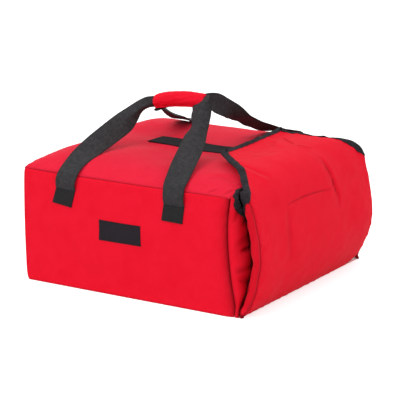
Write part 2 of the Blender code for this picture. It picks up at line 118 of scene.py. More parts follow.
paper_mesh = bpy.data.meshes.new("floor")
corners = [(x * FLOOR_HALF, y * FLOOR_HALF, 0) for x, y in ((-1, -1), (1, -1), (1, 1), (-1, 1))]
paper_mesh.from_pydata(corners, [], [(0, 1, 2, 3)])
paper = bpy.data.objects.new("floor", paper_mesh)
scene.collection.objects.link(paper)
paper_look = bpy.data.materials.new("studio_paper")
paper_look.use_nodes = True
tree = paper_look.node_tree
tree.nodes.clear()
rays = wire(tree, "ShaderNodeLightPath")
matt = wire(tree, "ShaderNodeBsdfDiffuse", {"Color": (*PAPER, 1)})
glow = wire(tree, "ShaderNodeEmission", {"Color": (1, 1, 1, 1), "Strength": PAPER_GLOW})
both = wire(tree, "ShaderNodeAddShader", {0: matt.outputs[0], 1: glow.outputs[0]})
seen = wire(
    tree, "ShaderNodeMixShader", {0: rays.outputs["Is Camera Ray"], 1: matt.outputs[0], 2: both.outputs[0]},
)
wire(tree, "ShaderNodeOutputMaterial", {"Surface": seen.outputs[0]})
paper_mesh.materials.append(paper_look)

for name, place, size, power in LAMPS:
    lamp = bpy.data.lights.new(name, "AREA")
    lamp.shape = "DISK"
    lamp.size = size
    lamp.energy = power
    holder = bpy.data.objects.new(name, lamp)
    away = np.array(place) - (0, 0, 0.12)
    away = away / np.linalg.norm(away)
    across = np.cross((0, 0, 1), away)
    across = across / np.linalg.norm(across)
    holder.matrix_world = placed(across, np.cross(away, across), away, place)
    scene.collection.objects.link(holder)

world = bpy.data.worlds.new("studio")
world.use_nodes = True
tree = world.node_tree
tree.nodes.clear()
rays = wire(tree, "ShaderNodeLightPath")
even = wire(tree, "ShaderNodeBackground", {"Color": (1, 1, 1, 1), "Strength": GLOW})
white = wire(tree, "ShaderNodeBackground", {"Color": (1, 1, 1, 1), "Strength": 1.0})
pick = wire(
    tree, "ShaderNodeMixShader", {0: rays.outputs["Is Camera Ray"], 1: even.outputs[0], 2: white.outputs[0]},
)
wire(tree, "ShaderNodeOutputWorld", {"Surface": pick.outputs[0]})
scene.world = world

# --- Body panels. Front, back, closed end and base are cut flat from red nylon backed with
# wadding, and sewn edge to edge, so each swells between its seams and pulls in at them.
LEFT_X = -0.235
MOUTH_X = 0.218
BASE_X = 0.240
HALF_WIDTH = 0.2275
HEIGHT = 0.215
WALL = 0.0120
PAD_DEPTH = 0.0104
EDGE = 0.0007
RIM = 0.0012
FRONT_SWELL = 0.0026
SWELL_UNEVEN = 0.0009
PUCKER = 0.00055
MOUTH_SEAM_Z = np.array((0.0, 0.020, 0.065, 0.1025, 0.139, 0.181, 0.215))
MOUTH_SEAM_X = np.array((0.2300, 0.2266, 0.2182, 0.2136, 0.2110, 0.2121, 0.2168))
CLOSED_BOW = 0.0030
TOP_SEAM_SAG = 0.0004
CROWN_RISE = 0.030
CROWN_REACH = 0.24096
CROWN_PEAK_X = 0.00596
DIP = 0.0050
# The deepest of the three reds is painted shade, mixed in at seams, creases and folds.
NYLON_RED = (0.81, 0.0045, 0.0215)
NYLON_LIGHT = (0.86, 0.0080, 0.0300)
NYLON_SHADE = (0.16, 0.0010, 0.0030)
NYLON_THREAD = 0.0009


def ease(share):
    """Zero to one with no slope at either end: three squares less two cubes."""
    share = np.clip(share, 0, 1)
    return share * share * (3 - 2 * share)


def through(at, stations, values):
    """A smooth curve through given values: cubic pieces whose end slopes are the values' own."""
    stations, values = np.asarray(stations, float), np.asarray(values, float)
    slopes = np.gradient(values, stations)
    piece = np.clip(np.searchsorted(stations, at) - 1, 0, len(stations) - 2)
    span = stations[piece + 1] - stations[piece]
    t = np.clip((at - stations[piece]) / span, 0, 1)
    start = (2 * t**3 - 3 * t**2 + 1) * values[piece] + (t**3 - 2 * t**2 + t) * span * slopes[piece]
    finish = (3 * t**2 - 2 * t**3) * values[piece + 1] + (t**3 - t**2) * span * slopes[piece + 1]
    return start + finish


def uneven(u, v, pitch, seed, waves=12):
    """Unevenness of cloth: the sum of plane waves about one pitch long, turned at random."""
    draw = np.random.default_rng(seed)
    turn, start = draw.uniform(0, 2 * np.pi, (2, waves))
    length = pitch * draw.uniform(0.7, 1.7, waves)
    u, v = np.broadcast_arrays(np.asarray(u, float), np.asarray(v, float))
    travel = u[..., None] * np.cos(turn) + v[..., None] * np.sin(turn)
    return np.sin(2 * np.pi * travel / length + start).sum(-1) / np.sqrt(waves / 2)


def toward_ends(count, crowd=0.55):
    """Shares from 0 to 1 that lie closer near both ends: an even row less part of a sine."""
    even = np.linspace(0, 1, count)
    return even - crowd * np.sin(2 * np.pi * even) / (2 * np.pi)


def facing(grid):
    """Unit normals of a grid of points: the cross product of its two directions of travel."""
    normal = np.cross(np.gradient(grid, axis=0), np.gradient(grid, axis=1))
    return normal / np.linalg.norm(normal, axis=-1, keepdims=True)


def travelled(grid, axis):
    """Distance walked along one direction of a grid: the running sum of its steps' lengths."""
    steps = np.linalg.norm(np.diff(grid, axis=axis), axis=-1)
    start = np.zeros_like(np.take(steps, [0], axis=axis))
    return np.concatenate((start, np.cumsum(steps, axis=axis)), axis=axis)


def piece_from(name, points, faces, looks, uv, seam=None, look_of=None, sharp=None):
    """Makes an object from arrays: corners, faces, a UV in metres and painted shade, kept as the seam
    attribute.
    """
    mesh = bpy.data.meshes.new(name)
    mesh.from_pydata(points.reshape(-1, 3), [], faces)
    mesh.polygons.foreach_set("use_smooth", np.ones(len(mesh.polygons), bool))
    for look in looks:
        mesh.materials.append(look)
    if look_of is not None:
        mesh.polygons.foreach_set("material_index", look_of)
    corner = np.empty(len(mesh.loops), np.int32)
    mesh.loops.foreach_get("vertex_index", corner)
    cloth = mesh.uv_layers.new(name="cloth")
    cloth.uv.foreach_set("vector", uv.reshape(-1, 2)[corner].astype(np.float32).ravel())
    # The seam attribute holds painted shade: how far the colour is darkened at seams, creases, folds and
    # edges, where shade falls.
    near = mesh.attributes.new("seam", "FLOAT", "POINT")
    near.data.foreach_set(
        "value",
        np.zeros(len(mesh.vertices), np.float32) if seam is None else seam.astype(np.float32).ravel(),
    )
    shape = bmesh.new()
    shape.from_mesh(mesh)
    bmesh.ops.recalc_face_normals(shape, faces=shape.faces[:])
    shape.to_mesh(mesh)
    shape.free()
    if sharp is not None:
        mesh.set_sharp_from_angle(angle=sharp)
    piece = bpy.data.objects.new(name, mesh)
    scene.collection.objects.link(piece)
    return piece


def pad(name, outer, inner, looks, seam=None, sharp=None):
    """A closed pad: one grid of points outside, one inside, and a strip round the rim between."""
    rows, columns = outer.shape[:2]
    number = np.arange(rows * columns).reshape(rows, columns)
    quads = np.stack((number[:-1, :-1], number[1:, :-1], number[1:, 1:], number[:-1, 1:]), -1).reshape(-1, 4)
    rim = np.concatenate((number[0, :-1], number[:-1, -1], number[-1, :0:-1], number[:0:-1, 0]))
    after = np.roll(rim, -1)
    under = rows * columns
    strip = np.stack((rim, after, after + under, rim + under), -1)
    faces = np.concatenate((quads, quads[:, ::-1] + under, strip))
    uv = np.stack((travelled(outer, 0), travelled(outer, 1)), -1)
    look_of = np.zeros(len(faces), np.int32)
    look_of[len(quads):2 * len(quads)] = len(looks) - 1
    near = np.zeros((rows, columns)) if seam is None else seam
    return piece_from(
        name, np.stack((outer, inner)), faces.tolist(), looks, np.stack((uv, uv)), np.stack((near, near)),
        look_of, sharp,
    )


def seam_drop(distance, drop=0.0012, reach=0.0060):
    """How far padded cloth falls to a seam: a quarter of an ellipse over its last millimetres."""
    near = np.clip(1 - distance / reach, 0, 1)
    return drop * (1 - np.sqrt(1 - near**2))


def new_group(name, inputs, outputs):
    """A shader node group with named inputs and outputs, and the node that brings the inputs."""
    group = bpy.data.node_groups.new(name, "ShaderNodeTree")
    for socket, kind in inputs.items():
        group.interface.new_socket(socket, in_out="INPUT", socket_type=kind)
    for socket in outputs:
        group.interface.new_socket(socket, in_out="OUTPUT", socket_type="NodeSocketFloat")
    return group, wire(group, "NodeGroupInput")


def weave_group():
    """Plain weave on a UV in metres: threads as a product of two sines, and slubs as noise."""
    group, come = new_group(
        "plain_weave", {"Cloth": "NodeSocketVector", "Thread": "NodeSocketFloat"}, ("Height", "Slub"),
    )
    per_metre = wire(group, "ShaderNodeMath", {0: np.pi, 1: come.outputs["Thread"]}, operation="DIVIDE")
    turned = wire(
        group, "ShaderNodeVectorMath", {0: come.outputs["Cloth"], "Scale": per_metre.outputs[0]},
        operation="SCALE",
    )
    split = wire(group, "ShaderNodeSeparateXYZ", {0: turned.outputs[0]})
    warp = wire(group, "ShaderNodeMath", {0: split.outputs[0]}, operation="SINE")
    weft = wire(group, "ShaderNodeMath", {0: split.outputs[1]}, operation="SINE")
    cross = wire(group, "ShaderNodeMath", {0: warp.outputs[0], 1: weft.outputs[0]}, operation="MULTIPLY")
    stretch = wire(
        group, "ShaderNodeVectorMath", {0: turned.outputs[0], 1: (0.08, 0.5, 1.0)}, operation="MULTIPLY",
    )
    slub = wire(
        group, "ShaderNodeTexNoise",
        {"Vector": stretch.outputs[0], "Scale": 1.0, "Detail": 2.0, "Roughness": 0.6},
    )
    lift = wire(
        group, "ShaderNodeMath", {0: slub.outputs[0], 1: 0.8, 2: cross.outputs[0]}, operation="MULTIPLY_ADD",
    )
    wire(group, "NodeGroupOutput", {"Height": lift.outputs[0], "Slub": slub.outputs[0]})
    return group


def rumple_group():
    """Cloth that has been handled: broad and fine noise on Object coordinates, for tone and form."""
    group, come = new_group(
        "rumple", {"Broad": "NodeSocketFloat", "Fine": "NodeSocketFloat"}, ("Tone", "Form"),
    )
    where = wire(group, "ShaderNodeTexCoord")
    broad = wire(
        group, "ShaderNodeTexNoise",
        {
            "Vector": where.outputs["Object"], "Scale": come.outputs["Broad"], "Detail": 3.0,
            "Roughness": 0.55, "Distortion": 0.4,
        },
    )
    fine = wire(
        group, "ShaderNodeTexNoise",
        {"Vector": where.outputs["Object"], "Scale": come.outputs["Fine"], "Detail": 2.0, "Roughness": 0.7},
    )
    tone = wire(group, "ShaderNodeMix", {0: 0.42, 2: broad.outputs[0], 3: fine.outputs[0]}, data_type="FLOAT")
    wire(group, "NodeGroupOutput", {"Tone": tone.outputs[0], "Form": broad.outputs[0]})
    return group


plain_weave = weave_group()
rumple = rumple_group()


def start_look(name, plain, broad, fine):
    """A look with its display colour, and its tree, shader and rumple of two given pitches."""
    look = bpy.data.materials.new(name)
    look.use_nodes = True
    look.diffuse_color = (*plain, 1)
    tree = look.node_tree
    worn = wire(tree, "ShaderNodeGroup", {"Broad": broad, "Fine": fine}, node_tree=rumple)
    return look, tree, tree.nodes["Principled BSDF"], worn


def mixed(tree, share, first, second):
    """Blends two colours by a share. Each is a triple or another node's output."""
    first, second = (
        colour if isinstance(colour, bpy.types.NodeSocket) else (*colour, 1) for colour in (first, second)
    )
    return wire(tree, "ShaderNodeMix", {0: share, 6: first, 7: second}, data_type="RGBA").outputs[2]


def toned(tree, value, low, high, plain, light):
    """Goes smoothly from one colour to another as a value climbs from low to high."""
    reach = wire(
        tree, "ShaderNodeMapRange", {0: value, 1: low, 2: high}, interpolation_type="SMOOTHSTEP",
    )
    return mixed(tree, reach.outputs[0], plain, light)


def cloth_look(
    name, plain, light, deep, thread, roughness, sheen, painted_shade_weight=0.35, weave_lift=0.00012, form_lift=0.0012,
):
    """Matt woven nylon: two tones by rumple and a third of painted shade by the seam attribute, with weave
    and creases as bump.
    """
    look, tree, shader, worn = start_look(name, plain, 38.0, 520.0)
    cloth = wire(tree, "ShaderNodeUVMap", uv_map="cloth")
    woven = wire(
        tree, "ShaderNodeGroup", {"Cloth": cloth.outputs[0], "Thread": thread}, node_tree=plain_weave,
    )
    tone = toned(tree, worn.outputs["Tone"], 0.25, 0.75, plain, light)
    # Painted shade: the seam attribute, times a weight, mixes the deep tone in at seams, creases and folds.
    seam = wire(tree, "ShaderNodeAttribute", attribute_name="seam")
    dark = wire(tree, "ShaderNodeMath", {0: seam.outputs["Fac"], 1: painted_shade_weight}, operation="MULTIPLY")
    rough = wire(
        tree, "ShaderNodeMapRange",
        {0: woven.outputs["Slub"], 1: 0.3, 2: 0.7, 3: roughness - 0.06, 4: roughness + 0.08},
    )
    creases = wire(
        tree, "ShaderNodeBump", {"Strength": 0.7, "Distance": form_lift, "Height": worn.outputs["Form"]},
    )
    weave = wire(
        tree, "ShaderNodeBump",
        {
            "Strength": 0.6, "Distance": weave_lift, "Height": woven.outputs["Height"],
            "Normal": creases.outputs[0],
        },
    )
    feed(tree, shader, {
        "Base Color": mixed(tree, dark.outputs[0], tone, deep), "Roughness": rough.outputs[0],
        "Normal": weave.outputs[0], "Sheen Weight": sheen, "Sheen Roughness": 0.28,
        "Specular IOR Level": 0.06,
    })
    return look


nylon = cloth_look(
    "red_nylon", NYLON_RED, NYLON_LIGHT, NYLON_SHADE, NYLON_THREAD, 0.66, 0.05, 1.0, form_lift=0.0004,
)
# A lighter, pinker copy of the red for the top: painted sheen, for the top seen at a grazing angle.
top_sheen_nylon = cloth_look(
    "red_nylon_painted_sheen", (0.77, 0.0125, 0.0390), (0.82, 0.0165, 0.0480), NYLON_SHADE, NYLON_THREAD, 0.66, 0.05,
    1.0, form_lift=0.0004,
)
backing = cloth_look(
    "wadding_back", (0.80, 0.79, 0.75), (0.86, 0.85, 0.80), (0.7, 0.69, 0.65), 0.0016, 0.9, 0.1,
)


def swollen_panel(name, flat, outward, sizes, swell, seed, looks, edges, creases=()):
    """A panel's two faces: the flat cut, pushed out by half sines, undulation and puckers, and
    drawn in at its four seams. Each seam gives a drop, the reach of the drop, the strength of the
    painted shade along it and the reach of that shade; creases add painted shade of their own. The
    inner face lies a pad's depth behind the outer."""
    rows, columns = flat.shape[:2]
    s = toward_ends(rows)[:, None] + np.zeros((1, columns))
    t = toward_ends(columns)[None, :] + np.zeros((rows, 1))
    along, across = s * sizes[0], t * sizes[1]
    gaps = np.stack((along, sizes[0] - along, across, sizes[1] - across))
    nearest = gaps.min(0)
    low, reach, shade_strength, spread = np.reshape(np.transpose(edges), (4, 4, 1, 1))
    drop = seam_drop(gaps, low, reach).max(0)
    # Painted shade along each seam, where the pad turns in and shade falls.
    dark = (shade_strength * np.exp(-gaps / spread)).max(0)
    full = np.sqrt((np.sin(np.pi * s) * np.sin(np.pi * t)).clip(0, 1))
    pucker = PUCKER * np.exp(-nearest / 0.012) * uneven(along, across, 0.013, seed + 1)
    soft = SWELL_UNEVEN * full * uneven(along, across, 0.085, seed)
    out = swell * full + soft + pucker * ease(nearest / 0.004) - drop
    for crease in creases:
        press, crease_shade = groove(along, across, *crease)
        out, dark = out + press, np.maximum(dark, crease_shade)
    outer = flat + out[..., None] * np.array(outward)
    depth = drop + RIM + (PAD_DEPTH - RIM) * ease(nearest / 0.014)
    inner = flat - np.clip(depth, drop + RIM, PAD_DEPTH)[..., None] * np.array(outward)
    return pad(name, outer, inner, looks, dark)


def walk(path):
    """Unit directions of travel along a path of points."""
    way = np.gradient(path, axis=0)
    return way / np.linalg.norm(way, axis=-1, keepdims=True)


def groove(u, v, path, depth, width, lip=0.0, shade_strength=0.0):
    """A crease pressed along a path: a bell across it, strongest halfway along, and a low ridge
    beside it. Gives the press and the painted shade in the crease. Distance is to the nearest of
    the path's close-set points."""
    path = np.asarray(path, float)
    walked = np.concatenate(((0.0,), np.cumsum(np.hypot(*np.diff(path, axis=0).T))))
    fine = np.linspace(0, walked[-1], 60)
    line = np.stack((through(fine, walked, path[:, 0]), through(fine, walked, path[:, 1])), -1)
    apart = np.stack((u[..., None] - line[:, 0], v[..., None] - line[:, 1]), -1)
    reach = np.hypot(apart[..., 0], apart[..., 1])
    nearest = reach.argmin(-1)
    distance = reach.min(-1)
    way = walk(line)[nearest]
    offset = np.take_along_axis(apart, nearest[..., None, None], axis=-2)[..., 0, :]
    left = np.sign(way[..., 0] * offset[..., 1] - way[..., 1] * offset[..., 0])
    strength = np.sqrt(np.clip(np.sin(np.pi * nearest / (len(fine) - 1)), 0, 1))
    bell = np.exp(-(distance / width) ** 2)
    ridge = lip * np.exp(-(((distance * left - 2.2 * width) / (1.6 * width)) ** 2))
    return strength * (ridge - depth * bell), shade_strength * strength * bell


def net(rows, columns):
    """Two grids of shares from 0 to 1, crowded toward the seams."""
    return np.meshgrid(toward_ends(rows), toward_ends(columns), indexing="ij")


def closed_edge(z):
    """Where the closed end stands at a height: it bows out a little and turns in at floor and top."""
    bow = CLOSED_BOW * np.sin(np.pi * np.clip(z / HEIGHT, 0, 1)) ** 0.7
    foot = 0.006 * np.exp(-z / 0.007)
    head = 0.0016 * np.exp((z - HEIGHT) / 0.003).clip(0, 1)
    return LEFT_X - bow - 0.0006 + foot + head


def crown(x, y):
    """Height of the domed top: one less a high power of the share from its middle, each way, with
    a raised back and closed end, a front seam that sags, and a dip toward the mouth."""
    reach = np.abs((x - CROWN_PEAK_X) / CROWN_REACH)
    along = 1 - np.where(x < CROWN_PEAK_X, reach**10, reach**6)
    across = 1 - np.abs(y / HALF_WIDTH) ** 6
    raised = 0.009 * ease((y + 0.05) / 0.25)
    raised = raised + 0.0092 * np.exp(-(x - LEFT_X) / 0.08) * (1 - np.clip(-y / HALF_WIDTH, 0, 1) ** 14)
    raised = raised + 0.0025 * np.exp(-(x - LEFT_X) / 0.035 - (y + HALF_WIDTH) / 0.035)
    plump = 0.003 * np.exp(-(((x + 0.19) / 0.05) ** 2) - ((y - 0.09) / 0.06) ** 2)
    dip = DIP * np.exp(-(((x - 0.045) / 0.075) ** 2) - ((y + 0.01) / 0.13) ** 2)
    hollow = 0.0035 * np.exp(-(((x + 0.13) / 0.05) ** 2) - ((y - 0.045) / 0.05) ** 2)
    share = np.clip((x - LEFT_X) / (MOUTH_X - LEFT_X), 0, 1)
    sag = TOP_SEAM_SAG * np.sin(np.pi * share) * np.exp(-(y + HALF_WIDTH) / 0.03)
    return HEIGHT + CROWN_RISE * along * across + raised + plump - dip - hollow - sag


# Each seam of a panel, in turn: drop, reach of the drop, strength of painted shade, reach of that shade.
SIDE_EDGES = (
    (0.0012, 0.007, 0.25, 0.0025), (0.0075, 0.028, 0.95, 0.0062), (0.0006, 0.006, 0.55, 0.0014),
    (0.0021, 0.0042, 0.0, 0.0010),
)
END_EDGES = (
    (0.0012, 0.007, 0.25, 0.0025), (0.0012, 0.007, 0.25, 0.0025), (0.0006, 0.006, 0.55, 0.0014),
    (0.0021, 0.0042, 0.0, 0.0010),
)
BASE_EDGES = (
    (0.0012, 0.006, 0.4, 0.002), (0.0004, 0.006, 0.0, 0.002), (0.0012, 0.006, 0.4, 0.002),
    (0.0012, 0.006, 0.4, 0.002),
)
TOP_EDGES = (
    (0.0010, 0.005, 0.25, 0.0016), (0.0010, 0.008, 0.0, 0.002), (0.0012, 0.006, 0.42, 0.0013),
    (0.0012, 0.006, 0.42, 0.0013),
)
# Creases of the top: path on the cut, depth, width, lip and strength of painted shade.
TOP_CREASES = (
    (((0.436, 0.004), (0.442, 0.014), (0.447, 0.026)), 0.0013, 0.0026, 0.0009, 0.20),
    (((0.405, 0.002), (0.411, 0.009), (0.420, 0.013)), 0.0012, 0.0022, 0.0008, 0.22),
    (((0.380, 0.040), (0.410, 0.052), (0.436, 0.048)), 0.0016, 0.0080, 0.0008, 0.04),
    (((0.060, 0.330), (0.100, 0.300), (0.150, 0.290)), 0.0016, 0.0120, 0.0008, 0.0),
)
panels = {}
for side_name, side in (("front", -1), ("back", 1)):
    s, t = net(150, 84)
    z = t * (crown(LEFT_X + s * (MOUTH_X - LEFT_X), side * HALF_WIDTH + 0 * s) - EDGE)
    left, right = closed_edge(z), through(z, MOUTH_SEAM_Z, MOUTH_SEAM_X)
    x = left + s * (right - left)
    flat = np.stack((x, side * (HALF_WIDTH + 0.0030 * np.exp(-z / 0.012)), z), -1)
    sizes = (MOUTH_X - LEFT_X, HEIGHT)
    panels[side_name] = swollen_panel(
        f"{side_name}_panel", flat, (0, side, 0), sizes, FRONT_SWELL, 11 + side, (nylon, backing), SIDE_EDGES,
    )

s, t = net(120, 70)
y = (2 * s - 1) * (HALF_WIDTH - EDGE)
z = EDGE + t * (crown(LEFT_X + 0 * y, y) - 2 * EDGE)
sizes = (2 * HALF_WIDTH, HEIGHT)
panels["closed_end"] = swollen_panel(
    "closed_end_panel", np.stack((closed_edge(z), y, z), -1), (-1, 0, 0), sizes, 0.0040, 23, (nylon, backing),
    END_EDGES,
)

s, t = net(120, 110)
x = LEFT_X + 0.006 + s * (BASE_X - LEFT_X - 0.006)
y = (2 * t - 1) * (HALF_WIDTH - EDGE)
base_sizes = (BASE_X - LEFT_X, 2 * HALF_WIDTH)
panels["base"] = swollen_panel(
    "base_panel", np.stack((x, y, 0 * x), -1), (0, 0, -1), base_sizes, 0.0, 31, (nylon, backing), BASE_EDGES,
)

# --- Top panel. Padded nylon, cut full so that it domes over the load, in a lighter, pinker copy
# of the red that paints on its grazing sheen. Its mouth edge is left unsewn and bound, and a broad
# dip runs across it where the lid presses.
s, t = net(170, 170)
x = LEFT_X - 0.0006 + s * (MOUTH_X - LEFT_X + 0.0006)
y = (2 * t - 1) * (HALF_WIDTH - 0.0021)
flat = np.stack((x, y, crown(x, y)), -1)
sizes = (MOUTH_X - LEFT_X, 2 * HALF_WIDTH)
panels["top"] = swollen_panel(
    "top_panel", flat, (0, 0, 1), sizes, 0.0, 41, (top_sheen_nylon, backing), TOP_EDGES, TOP_CREASES,
)

for name, piece in panels.items():
    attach(piece, "bag_body")
    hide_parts(f"{name}_outer", f"{name}_wadding")

# --- Lining. A smooth coated nylon sheet lies against the wadding of each panel and is sewn in
# with it at the seams.
LINING = 0.0010
# The third tone is painted shade, for the seam attribute to mix in.
LINING_RED = (0.60, 0.012, 0.024)
LINING_LIGHT = (0.68, 0.020, 0.036)
LINING_SHADE = (0.40, 0.006, 0.012)
lining_cloth = cloth_look("lining_nylon", LINING_RED, LINING_LIGHT, LINING_SHADE, 0.0006, 0.42, 0.05)


def lining_sheet(name, near, inward, seed):
    """A thin sheet: its face ripples by a millimetre, and its back lies one thickness behind."""
    ripple = 0.0005 * uneven(travelled(near, 0), travelled(near, 1), 0.05, seed)
    face = near + (ripple * 0.5)[..., None] * np.array(inward)
    sheet = pad(name, face, face + LINING * np.array(inward), (lining_cloth,))
    return sheet


INSIDE = PAD_DEPTH + 0.0007
linings = {}
for side_name, side in (("front", -1), ("back", 1)):
    s, t = net(60, 34)
    near = np.stack(
        (
            LEFT_X + WALL + s * (MOUTH_X - LEFT_X - WALL), side * (HALF_WIDTH - INSIDE) + 0 * s,
            WALL + t * (HEIGHT - 2 * WALL),
        ),
        -1,
    )
    linings[side_name] = lining_sheet(
        f"{side_name}_lining_sheet", near, (0, -side, 0), 51 + side,
    )
s, t = net(60, 34)
near = np.stack(
    (LEFT_X + INSIDE + 0 * s, (2 * s - 1) * (HALF_WIDTH - WALL), WALL + t * (HEIGHT - 2 * WALL)), -1,
)
linings["closed_end"] = lining_sheet("closed_end_lining_sheet", near, (1, 0, 0), 55)
s, t = net(60, 60)
near = np.stack(
    (LEFT_X + WALL + s * (BASE_X - LEFT_X - WALL), (2 * t - 1) * (HALF_WIDTH - WALL), INSIDE + 0 * s), -1,
)
linings["base"] = lining_sheet("base_lining_sheet", near, (0, 0, 1), 57)
x, y = LEFT_X + WALL + s * (MOUTH_X - LEFT_X - WALL), (2 * t - 1) * (HALF_WIDTH - WALL)
near = np.stack((x, y, crown(x, y) - INSIDE), -1)
linings["top"] = lining_sheet("top_lining_sheet", near, (0, 0, -1), 59)
for name, piece in linings.items():
    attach(piece, "bag_body")
    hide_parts(f"{name}_lining")

# --- Seam tapes. Black grosgrain folded over the raw seams inside: a frame round the closed end
# and one run along each long seam of the body.
TAPE_HALF = 0.0020
# The deepest tone is painted shade in the hollows between the ribs.
TAPE_BLACK = (0.018, 0.015, 0.019)
TAPE_LIGHT = (0.034, 0.029, 0.036)
TAPE_SHADE = (0.007, 0.006, 0.008)
TAPE_RIB = 0.0011


def rounded(half_a, half_b, corner, count=5):
    """A rounded oblong as section points: four quarter circles, set in the four corners."""
    turn = np.linspace(0, np.pi / 2, count)
    turns = (turn[None] + np.arange(4)[:, None] * np.pi / 2).ravel()
    signs = np.repeat(np.array(((1, 1), (-1, 1), (-1, -1), (1, -1))), count, axis=0)
    middles = signs * np.array((half_a - corner, half_b - corner))
    return middles + corner * np.stack((np.cos(turns), np.sin(turns)), -1)


def swept(path, side, face, section):
    """A section carried along a path: each point plus its section's two parts along side and face."""
    section = np.broadcast_to(section, (len(path), *np.shape(section)[-2:]))
    return path[:, None] + side[:, None] * section[..., :1] + face[:, None] * section[..., 1:]


def tube(name, grid, looks, joined=False, seam=None, sharp=None):
    """A closed skin over a row of rings. Its ends are capped, or joined to each other."""
    rows, columns = grid.shape[:2]
    number = np.arange(rows * columns).reshape(rows, columns)
    after = np.roll(number, -1, axis=1)
    last = rows if joined else rows - 1
    above = np.roll(number, -1, axis=0)[:last]
    above_after = np.roll(after, -1, axis=0)[:last]
    faces = np.stack((number[:last], after[:last], above_after, above), -1).reshape(-1, 4).tolist()
    if not joined:
        faces += [number[0].tolist(), number[-1, ::-1].tolist()]
    uv = np.stack((travelled(grid, 0), travelled(grid, 1)), -1)
    return piece_from(name, grid, faces, looks, uv, seam, None, sharp)


def tape_look(name, plain, light, deep, rib, roughness, sheen, lift):
    """Ribbed narrow tape: fine bars across its length from the UV, with painted shade in the hollows between
    them and tone from the rumple.
    """
    look, tree, shader, worn = start_look(name, plain, 60.0, 700.0)
    cloth = wire(tree, "ShaderNodeUVMap", uv_map="cloth")
    split = wire(tree, "ShaderNodeSeparateXYZ", {0: cloth.outputs[0]})
    turned = wire(tree, "ShaderNodeMath", {0: split.outputs[0], 1: 2 * np.pi / rib}, operation="MULTIPLY")
    bars = wire(tree, "ShaderNodeMath", {0: turned.outputs[0]}, operation="SINE")
    tone = toned(tree, worn.outputs["Tone"], 0.36, 0.66, plain, light)
    # Painted shade: between the ribs the colour goes toward the deep tone.
    lit = wire(tree, "ShaderNodeMapRange", {0: bars.outputs[0], 1: -1.0, 2: 1.0, 3: 0.45, 4: 0.0})
    bump = wire(tree, "ShaderNodeBump", {"Strength": 0.7, "Distance": lift, "Height": bars.outputs[0]})
    feed(tree, shader, {
        "Base Color": mixed(tree, lit.outputs[0], tone, deep), "Normal": bump.outputs[0],
        "Roughness": roughness, "Sheen Weight": sheen, "Specular IOR Level": 0.2,
    })
    return look


black_tape = tape_look("black_binding", TAPE_BLACK, TAPE_LIGHT, TAPE_SHADE, TAPE_RIB, 0.75, 0.0, 0.00015)
edge_z, edge_y = WALL + TAPE_HALF + 0.0003, HALF_WIDTH - WALL - TAPE_HALF - 0.0003
low, high = edge_z, HEIGHT - edge_z
turn = np.linspace(0, 2 * np.pi, 160, endpoint=False)
squared = np.stack((np.cos(turn), np.sin(turn)), -1)
squared = squared / np.abs(squared).max(-1, keepdims=True) ** 0.96
frame_path = np.stack(
    (LEFT_X + edge_z + 0 * turn, edge_y * squared[:, 0], (low + high) / 2 + (high - low) / 2 * squared[:, 1]),
    -1,
)
frame_side = np.stack((0 * turn, squared[:, 0], squared[:, 1]), -1)
frame_side = frame_side / np.linalg.norm(frame_side, axis=-1, keepdims=True)
frame_face = np.tile((1.0, 0.0, 0.0), (len(turn), 1))
closed_tape = tube(
    "closed_end_seam_binding",
    swept(frame_path, frame_side, frame_face, rounded(TAPE_HALF, TAPE_HALF, 0.0012)), (black_tape,),
    joined=True,
)
tapes = {"closed_end_seam_tape": closed_tape}
for side_name, side in (("front", -1), ("back", 1)):
    for level, z in (("base", low), ("top", high)):
        x = np.linspace(LEFT_X + edge_z + TAPE_HALF, MOUTH_X, 60)
        path = np.stack((x, side * edge_y + 0.0004 * uneven(x, 0, 0.05, 61 + side), z + 0 * x), -1)
        across = np.tile((0.0, 1.0, 0.0), (60, 1))
        up = np.tile((0.0, 0.0, 1.0), (60, 1))
        node = f"{level}_{side_name}_seam_tape"
        tapes[node] = tube(
            f"{level}_{side_name}_seam_binding",
            swept(path, across, up, rounded(TAPE_HALF, TAPE_HALF, 0.0012)), (black_tape,),
        )
for node, piece in tapes.items():
    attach(piece, "bag_body")
    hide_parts(node)

# --- Mouth binding of the top. The same tape, wider, folded over the free edge of the top panel
# and sewn through, so it bulges a little and follows the dome.
BIND_LAP = 0.0095
BIND_TAPE = 0.0010


def folded_tape(lap, half_thick, count=9):
    """Section of tape folded over an edge: two flat laps joined by a half circle, then back inside."""
    turn = np.linspace(np.pi / 2, -np.pi / 2, count)
    bend = np.stack((np.cos(turn), np.sin(turn)), -1)
    outside = np.concatenate((
        ((-lap, half_thick - 0.0004),), bend * half_thick, ((-lap, 0.0004 - half_thick),),
    ))
    inner = max(half_thick - BIND_TAPE, 0.0004)
    inside = np.concatenate((((-lap, -inner + 0.0004),), bend[::-1] * inner, ((-lap, inner - 0.0004),)))
    return np.concatenate((outside, inside))


y = np.linspace(-HALF_WIDTH + 0.006, HALF_WIDTH - 0.006, 160)
mouth_path = np.stack(
    (
        MOUTH_X + 0.0008 + 0.0008 * uneven(y, 0, 0.03, 71), y,
        crown(MOUTH_X + 0 * y, y) - PAD_DEPTH / 2 - 0.001 + 0.0012 * uneven(y, 0, 0.04, 72),
    ),
    -1,
)
out = np.tile((1.0, 0.0, 0.0), (160, 1))
up = np.cross(walk(mouth_path), -out)
laps = np.repeat(folded_tape(BIND_LAP, 0.0058)[None], 160, 0)
near_corner = 0.30 + 0.70 * ease((HALF_WIDTH - 0.006 - np.abs(y)) / 0.045)
laps[..., 0] = np.where(laps[..., 0] < 0, laps[..., 0] * near_corner[:, None], laps[..., 0])
mouth_binding = tube("top_mouth_edge_binding", swept(mouth_path, out, -up, laps), (black_tape,))
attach(mouth_binding, "bag_body")
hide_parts("top_mouth_binding")

